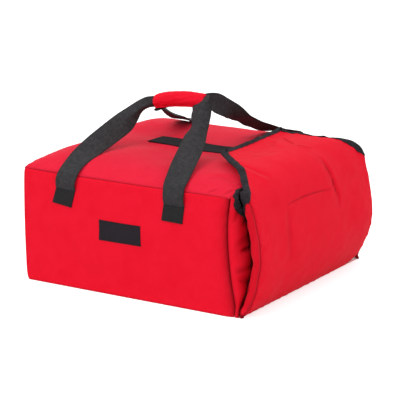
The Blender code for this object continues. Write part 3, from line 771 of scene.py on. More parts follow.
# --- Loop strip. Black loop tape with a soft nap, laid along the middle of the top and sewn down
# round its edge. The lid's hook strip presses on it.
LOOP_START, LOOP_END = -0.092, 0.170
LOOP_HALF = 0.0255
LOOP_THICK = 0.0019
NAP_BLACK = (0.008, 0.006, 0.008)
NAP_LIGHT = (0.017, 0.013, 0.018)


def nap_look(name, plain, light, roughness, lift, fine):
    """Napped loops: fine noise lifts and lightens the pile, with a broad brushed tone under it."""
    look, tree, shader, worn = start_look(name, plain, 40.0, fine)
    tone = toned(tree, worn.outputs["Tone"], 0.38, 0.70, plain, light)
    bump = wire(tree, "ShaderNodeBump", {"Strength": 0.8, "Distance": lift, "Height": worn.outputs["Tone"]})
    feed(tree, shader, {
        "Base Color": tone, "Normal": bump.outputs[0], "Roughness": roughness, "Sheen Weight": 0.03,
        "Specular IOR Level": 0.1,
    })
    return look


def slab(name, near, thick, looks, edge=0.0012, dark=0.0):
    """A thin strip on a surface: it stands a thickness proud and rounds off over its edges. Its edges, and
    all of it by a given share, carry painted shade in the seam attribute.
    """
    away = facing(near)
    s, t = travelled(near, 0), travelled(near, 1)
    gap = np.minimum(np.minimum(s, s[-1:] - s), np.minimum(t, t[:, -1:] - t))
    rise = thick * (0.35 + 0.65 * np.sqrt(1 - (1 - np.clip(gap / edge, 0, 1)) ** 2))
    return pad(name, near + away * rise[..., None], near, looks, np.maximum(dark, np.exp(-gap / 0.0012)))


loop_nap = nap_look("loop_nap", NAP_BLACK, NAP_LIGHT, 0.85, 0.0006, 900.0)
s, t = np.meshgrid(toward_ends(110, 0.8), toward_ends(30, 0.8), indexing="ij")
x, y = LOOP_START + s * (LOOP_END - LOOP_START), (2 * t - 1) * LOOP_HALF
loop_strip = slab("loop_strip", np.stack((x, y, crown(x, y) + 0.0005), -1), LOOP_THICK, (loop_nap,))
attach(loop_strip, "bag_body")
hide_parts("top_loop_strip")

# --- Flap. One padded nylon panel rises from the floor of the mouth, bellies over it, bends
# back and lies on the top. It narrows over the bend, and its end curls up a little.
FLAP_X = np.array((
    0.2403, 0.2517, 0.2640, 0.2725, 0.2785, 0.2785, 0.2745, 0.2700, 0.2640, 0.2550, 0.2400, 0.2200, 0.2000,
    0.1800, 0.1600, 0.1400, 0.1220,
))
FLAP_Z = np.array((
    0.0000, 0.0120, 0.0330, 0.0570, 0.0890, 0.1200, 0.1500, 0.1720, 0.1950, 0.2180, 0.2380, 0.2506, 0.2562,
    0.2582, 0.2592, 0.2618, 0.2682,
))
FLAP_S = np.concatenate(((0.0,), np.cumsum(np.hypot(np.diff(FLAP_X), np.diff(FLAP_Z)))))
FLAP_LENGTH = FLAP_S[-1]
FLAP_WIDE_S = np.array((0.0, 0.10, 0.20, 0.2338, 0.2557, 0.2786, 0.2910, 0.3150, 0.3425, 0.3674, 0.3808))
FLAP_WIDE_Y = np.array((
    0.2215, 0.2220, 0.2215, 0.2165, 0.2040, 0.1840, 0.1715, 0.1500, 0.1305, 0.1145, 0.1075,
))
HEM_S = 0.036
HEM_BEND = ((0.2403, 0.0, 0.0), (0.2600, 0.0, 0.030))
LID_BEND = ((0.2660, 0, 0.188), (0.1950, 0, 0.2610))
FLAP_PAD = 0.0100
EDGE_PAD = 0.0060
CUT_IN = 0.001


def flap_half(s):
    """Half of the flap's width at a distance along it."""
    return through(s, FLAP_WIDE_S, FLAP_WIDE_Y)


STITCH_BOX = ((0.196, -0.115), (0.1985, -0.073), (0.1985, -0.023), (0.196, 0.014), (0.191, 0.056))
BOX_RIGHT = ((0.191, 0.056), (0.214, 0.053), (0.237, 0.056), (0.262, 0.060))
BOX_TOP = ((0.333, -0.108), (0.322, -0.075), (0.313, -0.045), (0.314, -0.010))
# Creases of the flap: path on the cut (s, y), depth, width, lip and strength of painted shade.
CREASES = (
    (STITCH_BOX, 0.0014, 0.0014, 0.0006, 0.72),
    (BOX_RIGHT, 0.0008, 0.0013, 0.0, 0.30),
    (BOX_TOP, 0.0007, 0.0022, 0.0002, 0.10),
    (
        ((0.258, 0.062), (0.2347, 0.064), (0.2166, 0.066), (0.1937, 0.071), (0.172, 0.080), (0.150, 0.078)),
        0.0038, 0.0048, -0.0014, 0.20,
    ),
    (
        ((0.252, 0.0625), (0.2347, 0.064), (0.2166, 0.066), (0.1937, 0.071), (0.174, 0.079)), 0.0006, 0.0019,
        0.0, 0.72,
    ),
    (((0.350, 0.078), (0.330, 0.062), (0.309, 0.050)), 0.0028, 0.0022, 0.0012, 0.62),
    (((0.306, 0.050), (0.294, 0.058), (0.280, 0.069)), 0.0026, 0.0032, 0.0010, 0.34),
    (((0.322, -0.140), (0.300, -0.140), (0.278, -0.138), (0.252, -0.124)), 0.0026, 0.0065, 0.0012, 0.07),
    (((0.190, -0.110), (0.165, -0.115), (0.132, -0.118), (0.095, -0.116)), 0.0020, 0.0085, 0.0006, 0.14),
    (((0.330, 0.012), (0.341, 0.026), (0.352, 0.045)), 0.0020, 0.0050, 0.0010, 0.10),
)


def flap_face(s, y):
    """The flap's outer face at a distance s along it and y across, and the painted shade in its
    creases. A side profile, carried across, then moved along its normal by a belly, drooping
    shoulders, a curled back edge, a lifted end, creases and unevenness."""
    x, z = through(s, FLAP_S, FLAP_X), through(s, FLAP_S, FLAP_Z)
    step = 0.0008
    way = np.stack(
        (
            through(s + step, FLAP_S, FLAP_X) - through(s - step, FLAP_S, FLAP_X),
            through(s + step, FLAP_S, FLAP_Z) - through(s - step, FLAP_S, FLAP_Z),
        ),
        -1,
    )
    way = way / np.linalg.norm(way, axis=-1, keepdims=True)
    share = y / flap_half(s)
    back, front = np.clip(share, 0, 1), np.clip(-share, 0, 1)
    out = 0.0015 * (1 - share**2) * ease(s / 0.05) * ease((0.30 - s) / 0.12)
    out = out - 0.0062 * back**1.7 * ease(s / 0.05) * ease((0.275 - s) / 0.09)
    out = out - 0.0070 * front**3 * np.exp(-(((s - 0.270) / 0.045) ** 2))
    out = out - 0.0020 * back**2 * ease((s - 0.28) / 0.03) * ease((0.35 - s) / 0.03)
    lift = ease((s - 0.29) / 0.08)
    raised_back = 0.0065 * back**2 + 0.0032 * np.sin(np.pi * back**1.2)
    out = out + lift * (raised_back - 0.0005 * front**2 - 0.0030 * (1 - share**2))
    curled = ease((s - 0.208) / 0.024) * ease((0.288 - s) / 0.034)
    out = out + curled * (0.0090 * np.exp(-np.clip(flap_half(s) - y, 0, 1) / 0.0075) - 0.0055 * back**3)
    out = out + 0.0010 * uneven(s, y, 0.12, 81) * ease(s / 0.03)
    out = out + 0.00018 * uneven(s, y, 0.034, 82) * ease(s / 0.03)
    # Painted shade in the creases.
    dark = 0 * out
    for crease in CREASES:
        press, crease_shade = groove(s, y, *crease)
        out, dark = out + press, np.maximum(dark, crease_shade)
    x = x + 0.008 * front**1.5 * ease((s - 0.33) / 0.05)
    y = y - 0.009 * back**4 * ease((0.07 - s) / 0.07)
    drawn_up = back**8 * ease((0.05 - s) / 0.05)
    x, z = x - 0.004 * drawn_up, z + 0.006 * drawn_up
    return np.stack((x + out * way[..., 1], y, z - out * way[..., 0]), -1), dark


def flap_layers(s, y):
    """Both faces of the flap at places on its cut, their painted shade and which way is out. The
    pad draws in at the side seams and the foot, which painted shade darkens, and thins toward the
    edges that are bound."""
    half = flap_half(s) - CUT_IN
    outer, dark = flap_face(s, y)
    away = facing(outer)
    away = away * np.sign((away * (1.0, 0.0, 0.5)).sum())
    to_side, to_foot, to_tip = half - np.abs(y), s + 0.0005, FLAP_LENGTH - s
    drop = np.maximum(
        np.maximum(seam_drop(to_side, 0.0016, 0.009), seam_drop(to_foot, 0.0010, 0.004)), seam_drop(to_tip),
    )
    # Painted shade along the side seams and the foot.
    dark = np.maximum(dark, np.maximum(0.62 * np.exp(-to_side / 0.0018), 0.5 * np.exp(-to_foot / 0.0014)))
    nearest = np.clip(np.minimum(np.minimum(to_side, to_foot), to_tip), 0, 1)
    bound = ease((s - 0.215) / 0.03)
    edge = RIM + bound * (EDGE_PAD - RIM) * 0.55
    gather = PUCKER * 1.3 * np.exp(-nearest / 0.012) * uneven(s, y, 0.014, 83) * ease(nearest / 0.004)
    outer = outer + away * (gather - drop)[..., None]
    thick = edge + (FLAP_PAD - edge) * ease(nearest / 0.020)
    return outer, outer - away * thick[..., None], dark, away


for name, start, end, rows, columns, bodies, ends, nodes in (
    (
        "flap_hem", 0.0, HEM_S, 22, 160, ("bag_body", "flap_end"), HEM_BEND,
        ("flap_hem_outer", "flap_hem_wadding"),
    ),
    (
        "flap_panel", HEM_S, FLAP_LENGTH, 190, 170, ("flap_end", "flap_lid"), LID_BEND,
        (
            "flap_end_outer", "flap_end_wadding", "flap_fold_outer", "flap_fold_wadding", "lid_outer",
            "lid_wadding",
        ),
    ),
):
    s = start + np.linspace(0, 1, rows)[:, None] * (end - start) + np.zeros((1, columns))
    y = (2 * toward_ends(columns, 0.75) - 1)[None, :] * (flap_half(s) - CUT_IN)
    outer, inner, seam, away = flap_layers(s, y)
    piece = pad(name, outer, inner, (nylon, backing), seam, sharp=np.radians(60))
    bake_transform(piece)
    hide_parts(*nodes)
    near = inner - away * 0.0005
    sheet = pad(f"{name}_lining_sheet", near, near - away * LINING, (lining_cloth,))
    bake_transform(sheet)
    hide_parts(*(node.rsplit("_", 1)[0] + "_lining" for node in nodes[::2]))

# --- Flap binding. One length of the black tape runs up one side edge of the flap, round the
# lid's end and down the other side, folded over the edge and mitred at the corners.
BIND_START_S = 0.226
FLAP_BIND_LAP = 0.0088
BIND_PROUD = 0.0012


def smoothed(path, count):
    """A path with its corners eased: each point becomes the mean of those about it."""
    kernel = np.hanning(count + 2)[1:-1]
    kernel = kernel / kernel.sum()
    ends = count // 2
    long = np.concatenate((np.repeat(path[:1], ends, 0), path, np.repeat(path[-1:], ends, 0)))
    return np.stack([np.convolve(long[:, k], kernel, "valid") for k in range(path.shape[1])], -1)


def beside(line, middle, lap, count=8):
    """Places beside an edge drawn on a flat cut: a lap's depth straight in from each of its
    points, toward the middle, and evenly back out to the edge."""
    way = walk(line)
    inward = np.stack((-way[:, 1], way[:, 0]), -1)
    inward = inward * np.sign((inward * (np.asarray(middle) - line)).sum(-1, keepdims=True))
    return line[:, None] + inward[:, None] * (lap * np.linspace(1, 0, count))[..., None]


def wrapped(outer, inner, away, proud, count=9):
    """Rings of tape folded over a pad's edge, from its two faces beside that edge: a lap that
    stands a little proud of each, joined by half a circle, then the tape's inner skin back."""
    up = away[:, -1]
    tip = outer[:, -1] - outer[:, -2]
    tip = tip - up * (tip * up).sum(-1, keepdims=True)
    tip = tip / np.linalg.norm(tip, axis=-1, keepdims=True)
    middle = (outer[:, -1] + inner[:, -1]) / 2
    half = np.linalg.norm(outer[:, -1] - inner[:, -1], axis=-1) / 2
    turn = np.linspace(np.pi / 2, -np.pi / 2, count)[1:-1, None]
    skins = []
    for stand in (proud, proud - BIND_TAPE):
        radius = (half + stand[:, -1])[:, None, None]
        round_edge = (tip[:, None] * np.cos(turn) + up[:, None] * np.sin(turn)) * radius
        skins.append(np.concatenate(
            (
                outer + away * stand[..., None], middle[:, None] + round_edge,
                (inner - away * stand[..., None])[:, ::-1],
            ),
            1,
        ))
    return np.concatenate((skins[0], skins[1][:, ::-1]), 1)


run = np.linspace(BIND_START_S, FLAP_LENGTH, 140)
tip_half = float(flap_half(FLAP_LENGTH)) - CUT_IN
across = np.linspace(-tip_half, tip_half, 170)[1:-1]
edge_y = flap_half(run) - CUT_IN
edge_line = np.concatenate((
    np.stack((run, -edge_y), -1), np.stack((0 * across + FLAP_LENGTH, across), -1),
    np.stack((run, edge_y), -1)[::-1],
))
edge_line = smoothed(edge_line, 5)
lap = FLAP_BIND_LAP * np.clip((edge_line[:, :1] - BIND_START_S) / 0.018, 0.06, 1)
strip = beside(edge_line, (0.30, 0.0), lap)
outer, inner, _, away = flap_layers(strip[..., 0], strip[..., 1])
proud = BIND_PROUD * (1 + 0.30 * uneven(strip[..., 0], strip[..., 1], 0.024, 91))
flap_binding = tube(
    "flap_edge_binding", wrapped(outer, inner, away, proud), (black_tape,), sharp=np.radians(70),
)
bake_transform(flap_binding)
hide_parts("fold_front_binding", "fold_back_binding", "lid_binding")

# --- Hook strip. Stiff black hook tape sewn across the underside of the lid, which holds on the
# loop strip of the top.
HOOK_NEAR_S, HOOK_FAR_S = 0.322, 0.372
HOOK_HALF = 0.090
hook_nap = nap_look("hook_tape", NAP_BLACK, (0.040, 0.036, 0.044), 0.6, 0.0005, 1400.0)
s, t = np.meshgrid(toward_ends(24, 0.8), toward_ends(70, 0.8), indexing="ij")
s, y = HOOK_FAR_S - s * (HOOK_FAR_S - HOOK_NEAR_S), (2 * t - 1) * HOOK_HALF
outer = flap_face(s, y)[0]
away = facing(outer)
away = away * np.sign(away[..., 2:])
under = outer - away * (FLAP_PAD + LINING + 0.0012)
rise = under - away * LOOP_THICK
hook_strip = pad("lid_hook_strip_tape", rise, under, (hook_nap,))
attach(hook_strip, "flap_lid")
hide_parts("lid_hook_strip")

# --- Gussets. A padded triangle joins each side of the flap to the body and folds in between
# them. Its halves touch at the fold, and its free upper edge is bound in black.
GUSSET_LOW, GUSSET_MID = 0.0008, 0.1075
GUSSET_PAD, GUSSET_EDGE = 0.0075, 0.0036
GUSSET_LAP = 0.0092
GUSSET_REACH = {
    "body": (
        (0.0008, 0.1075, 0.172, 0.183, 0.190, 0.1975, 0.2071, 0.2140, 0.2190, 0.2225),
        (0.0085, 0.100, 0.054, 0.0380, 0.0285, 0.0205, 0.0165, 0.0130, 0.0104, 0.0088),
    ),
    "flap": (
        (0.0008, 0.1075, 0.178, 0.188, 0.1962, 0.2037, 0.2110, 0.2160, 0.2255),
        (0.0080, 0.100, 0.0445, 0.0340, 0.0285, 0.0240, 0.0200, 0.0170, 0.0125),
    ),
}
VALLEY_Z = np.array((0.002, 0.013, 0.031, 0.045, 0.070, 0.083, 0.104, 0.124, 0.145, 0.163, 0.206))
VALLEY_X = np.array((0.2385, 0.2352, 0.2356, 0.2356, 0.2421, 0.2462, 0.2431, 0.2407, 0.2375, 0.2340, 0.2325))
VALLEY_IN = 0.033
# Each fold: height at the valley, slope, depth, width, strength of painted shade, and the share of the run
# where it starts.
FOLDS = (
    (0.1714, -0.69, 0.0024, 0.0024, 0.70, 0.60),
    (0.1221, -0.17, 0.0046, 0.0034, 0.85, 0.45),
    (0.0887, -0.21, 0.0024, 0.0062, 0.40, 0.10),
    (0.1960, -0.90, 0.0018, 0.0036, 0.30, 0.10),
    (0.1420, -0.45, 0.0020, 0.0070, 0.20, 0.20),
    (0.0600, 0.25, 0.0020, 0.0060, 0.20, 0.20),
)


def gusset_reach(half, z):
    """How far a half reaches from its seam to its fold or free edge: straight runs by height."""
    return np.interp(z, *GUSSET_REACH[half])


def gusset_line(half, z, run, side):
    """The visible face of a gusset at height z, a distance run from its seam: out to the valley
    along a bowed line, then straight in beside the other half. Gives x, y as if at the front, and
    how far the valley is."""
    body = half == "body"
    if body:
        seam_x = through(z, MOUTH_SEAM_Z, MOUTH_SEAM_X) - 0.0005
        seam_y = -HALF_WIDTH - 0.0015 + 0.0060 * ease(z / 0.020)
    else:
        up_flap = through(z, FLAP_Z[:12], FLAP_S[:12])
        beside_seam = flap_face(up_flap, side * (flap_half(up_flap) - 0.004))[0]
        seam_x = beside_seam[..., 0] - 0.0045 * ease(z / 0.02) + 0.0060 * ease((z - 0.200) / 0.024)
        seam_y = -0.2230 + 0.0040 * ease(z / 0.020) + 0.0015 * ease((z - 0.200) / 0.024)
    apart = 0.0006 + 0.0012 * ease((z - 0.150) / 0.03)
    valley_x = through(z, VALLEY_Z, VALLEY_X) + (-apart if body else apart)
    deep = np.minimum(VALLEY_IN, 0.62 * gusset_reach(half, z) + 0.003)
    valley_y = -HALF_WIDTH + deep * (0.10 + 0.90 * ease(z / 0.020))
    outstretch = np.hypot(valley_x - seam_x, valley_y - seam_y)
    share = np.clip(run / outstretch, 0, 1)
    way_x, way_y = (valley_x - seam_x) / outstretch, (valley_y - seam_y) / outstretch
    sign = 1.0 if body else -1.0
    bow = (0.0085 if body else 0.0038) * np.sin(np.pi * share ** 0.8) * ease(outstretch / 0.03)
    x = seam_x + way_x * share * outstretch + sign * way_y * bow
    y = seam_y + way_y * share * outstretch - sign * way_x * bow
    return x, y + np.maximum(run - outstretch, 0), outstretch


def gusset_layers(half, z, run, side):
    """Both faces of one half of a gusset at places on its cut, their painted shade and which way
    is out. Painted shade deepens across the body half toward the fold and lies along the fold, the
    seam and the creases, which run in from the fold. The pad thins to its seam and its fold."""
    body = half == "body"
    x, y, outstretch = gusset_line(half, z, run, side)
    face = np.stack((x, y, z), -1)
    away = facing(face)
    away = away * np.sign((away * (0.6 if body else -0.6, -0.8, 0.0)).sum(-1, keepdims=True))
    share = run / outstretch
    # Painted shade: the body half darkens toward the fold, the flap half near its seam, and both at the fold
    # and the seam.
    deep = np.clip((share - 0.12) / 0.88, 0, 1) ** 1.25
    dark = 0.80 * deep if body else 0.20 * ease((0.80 - share) / 0.6)
    dark = np.maximum(dark, 0.93 * ease((run - outstretch + 0.0050) / 0.0045))
    dark = np.maximum(dark, 0.85 * np.exp(-run / 0.0018))
    press = 0
    for fold_z, slope, depth, width, shade_strength, first in FOLDS:
        off = z - fold_z - (0.0 if body else 0.011) - slope * (outstretch - run)
        bell = np.exp(-(off / width) ** 2) * ease((share - first) / 0.35)
        press = press + (depth if body else 0.12 * depth) * bell * ease((0.075 - run) / 0.03)
        dark = dark + (1 - dark) * (shade_strength if body else 0.3 * shade_strength) * bell
    soft = 0.0008 * uneven(z, run, 0.030, 101 if body else 102) * ease(run / 0.012)
    reach = gusset_reach(half, z)
    to_edge = np.clip(reach - run, 0, 1)
    face = face + away * (soft - press - seam_drop(run, 0.0022, 0.008))[..., None]
    thick = np.minimum(
        RIM + (GUSSET_PAD - RIM) * ease(run / 0.012),
        GUSSET_EDGE + (GUSSET_PAD - GUSSET_EDGE) * ease(to_edge / 0.014),
    )
    return face, face - away * thick[..., None], np.clip(dark, 0, 0.97), away


for side_name, side in (("front", -1), ("back", 1)):
    mirror = np.array((1.0, -side, 1.0))
    for half in ("body", "flap"):
        top_z = GUSSET_REACH[half][0][-1]
        pad_top = min(top_z, 0.2185) if half == "body" else top_z
        z = GUSSET_LOW + toward_ends(130)[:, None] * (pad_top - GUSSET_LOW) + np.zeros((1, 70))
        tucked = (0.0035 if half == "flap" else 0.0) * ease((z - 0.203) / 0.010)
        run = tucked + toward_ends(70, 0.7)[None, :] * (gusset_reach(half, z) - tucked)
        face, back, seam, away = gusset_layers(half, z, run, side)
        piece = pad(f"{side_name}_gusset_{half}_pad", face * mirror, back * mirror, (nylon,), seam)
        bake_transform(piece)
        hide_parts(f"{side_name}_gusset_{half}_half")
        z = np.linspace(top_z - 0.0003, GUSSET_MID, 110)
        line = np.stack((z, gusset_reach(half, z)), -1)
        if half == "flap":
            first = np.linspace(0.0006, line[0, 1], 14)[:-1]
            line = np.concatenate((np.stack((top_z + 0 * first, first), -1), line))
        line = smoothed(line, 9)
        if half == "flap":
            wider = 0.8 * ease((line[:, :1] - 0.204) / 0.020)
        else:
            wider = -0.65 * ease((line[:, :1] - 0.207) / 0.010)
        lap = GUSSET_LAP * (1 + wider)
        strip = beside(line, (0.12, 0.02), lap, 12)
        face, back, _, away = gusset_layers(half, strip[..., 0], np.maximum(strip[..., 1], 0.0002), side)
        crumple = uneven(strip[..., 0] * 1.6, strip[..., 1], 0.010, 115)
        proud = BIND_PROUD + 0.0004 + (0.0007 if half == "body" else 0.0003) * crumple
        bound = tube(
            f"{side_name}_gusset_{half}_edge_binding", wrapped(face, back, away, proud) * mirror,
            (black_tape,), sharp=np.radians(70),
        )
        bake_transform(bound)
        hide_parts(f"{side_name}_gusset_{half}_binding")

# --- Handles. Each is one length of charcoal twill webbing from tab to tab. Its legs lie flat
# where they leave the stitch line, then twist and fold lengthwise toward the grip.
WEB_HALF = 0.0220
WEB_THICK = 0.0019
# The deepest tone is painted shade, along the strap's edges and over the sewn tabs.
WEB_PLAIN = (0.017, 0.016, 0.018)
WEB_LIGHT = (0.056, 0.053, 0.056)
WEB_SHADE = (0.008, 0.008, 0.009)
WEB_THREAD = 0.0016
STITCH_Z = 0.189
GRIP_Y = -0.026
GRIP_X = -0.0145
GRIP_HALF = 0.0570


def grip_rise(x):
    """Height of the grip's middle along it: the wrap bows up a little and its left end droops."""
    return 0.336 + through(
        x, (-0.0770, -0.0470, -0.0170, 0.0130, 0.0430), (-0.0080, -0.0010, 0.0032, 0.0046, 0.0036),
    )


def web_look(name, plain, light, deep, thread, roughness):
    """Twill webbing: a weave turned by half a right angle on the UV, worn lighter in flecks, and darkened by
    the painted shade in the seam attribute.
    """
    look, tree, shader, worn = start_look(name, plain, 150.0, 1100.0)
    cloth = wire(tree, "ShaderNodeUVMap", uv_map="cloth")
    turned = wire(tree, "ShaderNodeMapping", {"Vector": cloth.outputs[0], "Rotation": (0, 0, np.pi / 4)})
    woven = wire(
        tree, "ShaderNodeGroup", {"Cloth": turned.outputs[0], "Thread": thread}, node_tree=plain_weave,
    )
    fleck = wire(
        tree, "ShaderNodeMath", {0: woven.outputs["Height"], 1: 0.20, 2: worn.outputs["Tone"]},
        operation="MULTIPLY_ADD",
    )
    tone = toned(tree, fleck.outputs[0], 0.38, 0.86, plain, light)
    # Painted shade: the seam attribute mixes in the deep tone.
    seam = wire(tree, "ShaderNodeAttribute", attribute_name="seam")
    bump = wire(
        tree, "ShaderNodeBump", {"Strength": 0.8, "Distance": 0.0002, "Height": woven.outputs["Height"]},
    )
    feed(tree, shader, {
        "Base Color": mixed(tree, seam.outputs["Fac"], tone, deep), "Normal": bump.outputs[0],
        "Roughness": roughness, "Sheen Weight": 0.02, "Specular IOR Level": 0.2,
    })
    return look


webbing = web_look("charcoal_webbing", WEB_PLAIN, WEB_LIGHT, WEB_SHADE, WEB_THREAD, 0.72)


def ribbon(name, stations, looks, rows, columns=33):
    """A strap through stations. Each gives a place, the way its width points, half its width, the
    angle each half folds back from the ridge, and a thickness. The two selvedges thin out, and
    painted shade darkens them as a contact shadow."""
    table = np.array(stations, float)
    walked = np.concatenate(((0.0,), np.cumsum(np.linalg.norm(np.diff(table[:, :3], axis=0), axis=1))))
    at = np.linspace(0, walked[-1], rows)
    table = np.stack([through(at, walked, column) for column in table.T], -1)
    path, width = table[:, :3], table[:, 3:6]
    half, fold, thick = table[:, 6, None], np.radians(table[:, 7, None]), table[:, 8, None]
    way = walk(path)
    width = width - way * (width * way).sum(-1, keepdims=True)
    width = width / np.linalg.norm(width, axis=-1, keepdims=True)
    face = np.cross(width, way)
    q = (2 * toward_ends(columns, 0.8) - 1)[None]
    bend = np.sqrt(q**2 + 0.02) - np.sqrt(0.02)
    spread, cupped = (half * np.cos(fold) * q)[..., None], (half * np.sin(fold) * bend)[..., None]
    middle = path[:, None] + width[:, None] * spread - face[:, None] * cupped
    away = -facing(middle)
    edge = np.maximum(np.sqrt(1 - q**16), 0.3)
    push = (thick * edge / 2)[..., None] * away
    # Painted contact shadow along both edges.
    edge_shadow = 0.7 * np.exp(-(1 - np.abs(q)) * half / 0.0013)
    return pad(name, middle + push, middle - push, looks, edge_shadow)


def side_swell(x, z, side):
    """How far a side panel stands out at a place: the same half sines and undulation as its pad."""
    left = closed_edge(z)
    s = (x - left) / (through(z, MOUTH_SEAM_Z, MOUTH_SEAM_X) - left)
    t = z / HEIGHT
    full = np.sqrt(np.clip(np.sin(np.pi * s) * np.sin(np.pi * t), 0, 1))
    soft = uneven(s * (MOUTH_X - LEFT_X), t * HEIGHT, 0.085, 11 + side)
    return FRONT_SWELL * full + SWELL_UNEVEN * full * soft


H, T = WEB_HALF, WEB_THICK
GRIP_T = 0.0038
FRONT_LEGS = (
    (-0.1360, -0.2309, 0.1885, 1.0, 0.0, -0.03, H, 0, T),
    (-0.1350, -0.2331, 0.2020, 1.0, 0.0, -0.03, H, 0, T),
    (-0.1312, -0.2295, 0.2180, 1.0, 0.0, -0.04, H, 0, T),
    (-0.1305, -0.2080, 0.2345, 0.98, -0.05, -0.14, H, 2, T),
    (-0.1275, -0.1650, 0.2535, 0.87, 0.02, -0.42, H, 3, T),
    (-0.1195, -0.1150, 0.2740, 0.74, 0.10, -0.62, H, 5, T),
    (-0.1100, -0.0760, 0.2925, 0.63, 0.12, -0.74, H, 16, T),
    (-0.1030, -0.0520, 0.3065, 0.48, 0.18, -0.82, 0.0215, 42, T),
    (-0.0935, -0.0400, 0.3155, 0.25, 0.40, -0.88, 0.0205, 56, T),
    (-0.0810, -0.0350, 0.3215, 0.05, 0.42, -0.90, 0.0180, 46, T),
    (-0.0715, -0.0320, 0.3262, 0.0, 0.30, -0.96, 0.0142, 28, 0.0024),
    (-0.0640, -0.0295, 0.3305, 0.0, 0.10, -1.0, 0.0106, 8, 0.0030),
    (-0.0550, -0.0285, 0.3345, 0.0, 0.05, -1.0, 0.0099, 0, GRIP_T),
    (-0.0170, -0.0283, 0.3380, 0.0, 0.0, -1.0, 0.0099, 0, GRIP_T),
    (0.0200, -0.0285, 0.3390, 0.0, 0.0, -1.0, 0.0099, 0, GRIP_T),
    (0.0330, -0.0300, 0.3400, 0.0, -0.20, -0.97, 0.0120, 20, 0.0028),
    (0.0410, -0.0345, 0.3425, -0.35, -0.30, -0.86, 0.0165, 35, T),
    (0.0410, -0.0400, 0.3385, -0.80, -0.10, -0.50, 0.0215, 16, T),
    (0.0440, -0.0470, 0.3270, -0.86, 0.10, 0.15, 0.0212, 16, T),
    (0.0565, -0.0670, 0.3060, -0.90, 0.00, 0.38, 0.0185, 32, T),
    (0.0690, -0.1050, 0.2850, -0.86, -0.05, 0.42, H, 18, T),
    (0.0795, -0.1400, 0.2675, -0.90, -0.05, 0.36, H, 5, T),
    (0.0970, -0.2030, 0.2375, -0.96, -0.05, 0.20, H, 0, T),
    (0.1030, -0.2290, 0.2175, -1.0, 0.0, 0.03, H, 0, T),
    (0.1042, -0.2331, 0.2020, -1.0, 0.0, 0.02, H, 0, T),
    (0.1042, -0.2309, 0.1885, -1.0, 0.0, 0.02, H, 0, T),
)
BACK_LEGS = (
    (-0.1345, 0.2330, 0.1892, -1.0, 0.0, 0.0, H, 0, T),
    (-0.1340, 0.2335, 0.2040, -1.0, 0.0, 0.0, H, 0, T),
    (-0.1320, 0.2300, 0.2270, -1.0, 0.0, 0.0, H, 0, T),
    (-0.1285, 0.2090, 0.2460, -1.0, -0.1, 0.0, H, 0, T),
    (-0.1210, 0.1640, 0.2560, -1.0, -0.1, 0.10, H, 2, T),
    (-0.1055, 0.1140, 0.2680, -1.0, -0.1, 0.04, H, 4, T),
    (-0.0945, 0.0740, 0.2840, -1.0, -0.05, 0.06, H, 4, T),
    (-0.0860, 0.0400, 0.2975, -0.92, -0.05, 0.33, 0.0190, 8, T),
    (-0.0790, 0.0120, 0.3110, -0.87, -0.05, 0.46, 0.0150, 16, T),
    (-0.0725, -0.0110, 0.3240, -0.50, -0.1, 0.70, 0.0125, 30, T),
    (-0.0640, -0.0215, 0.3310, 0.0, 0.0, 1.0, 0.0115, 20, 0.0028),
    (-0.0500, -0.0237, 0.3350, 0.0, 0.0, 1.0, 0.0099, 0, GRIP_T),
    (-0.0170, -0.0237, 0.3380, 0.0, 0.0, 1.0, 0.0099, 0, GRIP_T),
    (0.0200, -0.0237, 0.3390, 0.0, 0.0, 1.0, 0.0099, 0, GRIP_T),
    (0.0330, -0.0225, 0.3390, 0.0, 0.05, 1.0, 0.0130, 15, 0.0026),
    (0.0420, -0.0150, 0.3375, -0.05, 0.20, 0.97, 0.0165, 18, T),
    (0.0465, 0.0019, 0.3320, 0.10, 0.30, 0.92, 0.0190, 10, T),
    (0.0515, 0.0215, 0.3224, 0.20, 0.35, 0.88, 0.0182, 5, T),
    (0.0556, 0.0377, 0.3140, 0.38, 0.28, 0.80, 0.0175, 5, T),
    (0.0598, 0.0543, 0.3046, 0.75, 0.10, 0.50, 0.0195, 4, T),
    (0.0631, 0.0676, 0.2956, 0.93, 0.05, 0.30, 0.0210, 3, T),
    (0.0665, 0.0810, 0.2892, 0.97, 0.0, 0.21, H, 2, T),
    (0.0709, 0.0980, 0.2797, 0.97, 0.0, 0.25, H, 2, T),
    (0.0752, 0.1151, 0.2725, 0.97, 0.0, 0.24, H, 0, T),
    (0.0804, 0.1356, 0.2642, 0.96, 0.0, 0.28, H, 0, T),
    (0.0862, 0.1585, 0.2577, 0.98, 0.0, 0.20, H, 0, T),
    (0.0930, 0.1870, 0.2527, 1.0, -0.05, 0.08, H, 0, T),
    (0.0970, 0.2100, 0.2470, 1.0, 0.0, 0.0, H, 0, T),
    (0.1015, 0.2300, 0.2260, 1.0, 0.0, 0.0, H, 0, T),
    (0.1040, 0.2340, 0.2080, 1.0, 0.0, 0.0, H, 0, T),
    (0.1042, 0.2330, 0.1892, 1.0, 0.0, 0.0, H, 0, T),
)
for side_name, stations in (("front", FRONT_LEGS), ("back", BACK_LEGS)):
    strap = ribbon(f"{side_name}_handle_webbing", stations, (webbing,), 380)
    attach(strap, f"{side_name}_handle")
    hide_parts(f"{side_name}_handle")

# --- Handle tabs. Below its stitch line each leg of webbing is sewn flat to the side panel,
# its cut end heat sealed. The front ones lean as they are sewn.
TAB_LOW = 0.1570
TABS = (
    ("front_closed_end", -1, (-0.1462, -0.1362), 0.10),
    ("front_mouth", -1, (0.0993, 0.1038), 0.03),
    ("back_closed_end", 1, (-0.1345, -0.1345), 0.0),
    ("back_mouth", 1, (0.1042, 0.1042), 0.0),
)


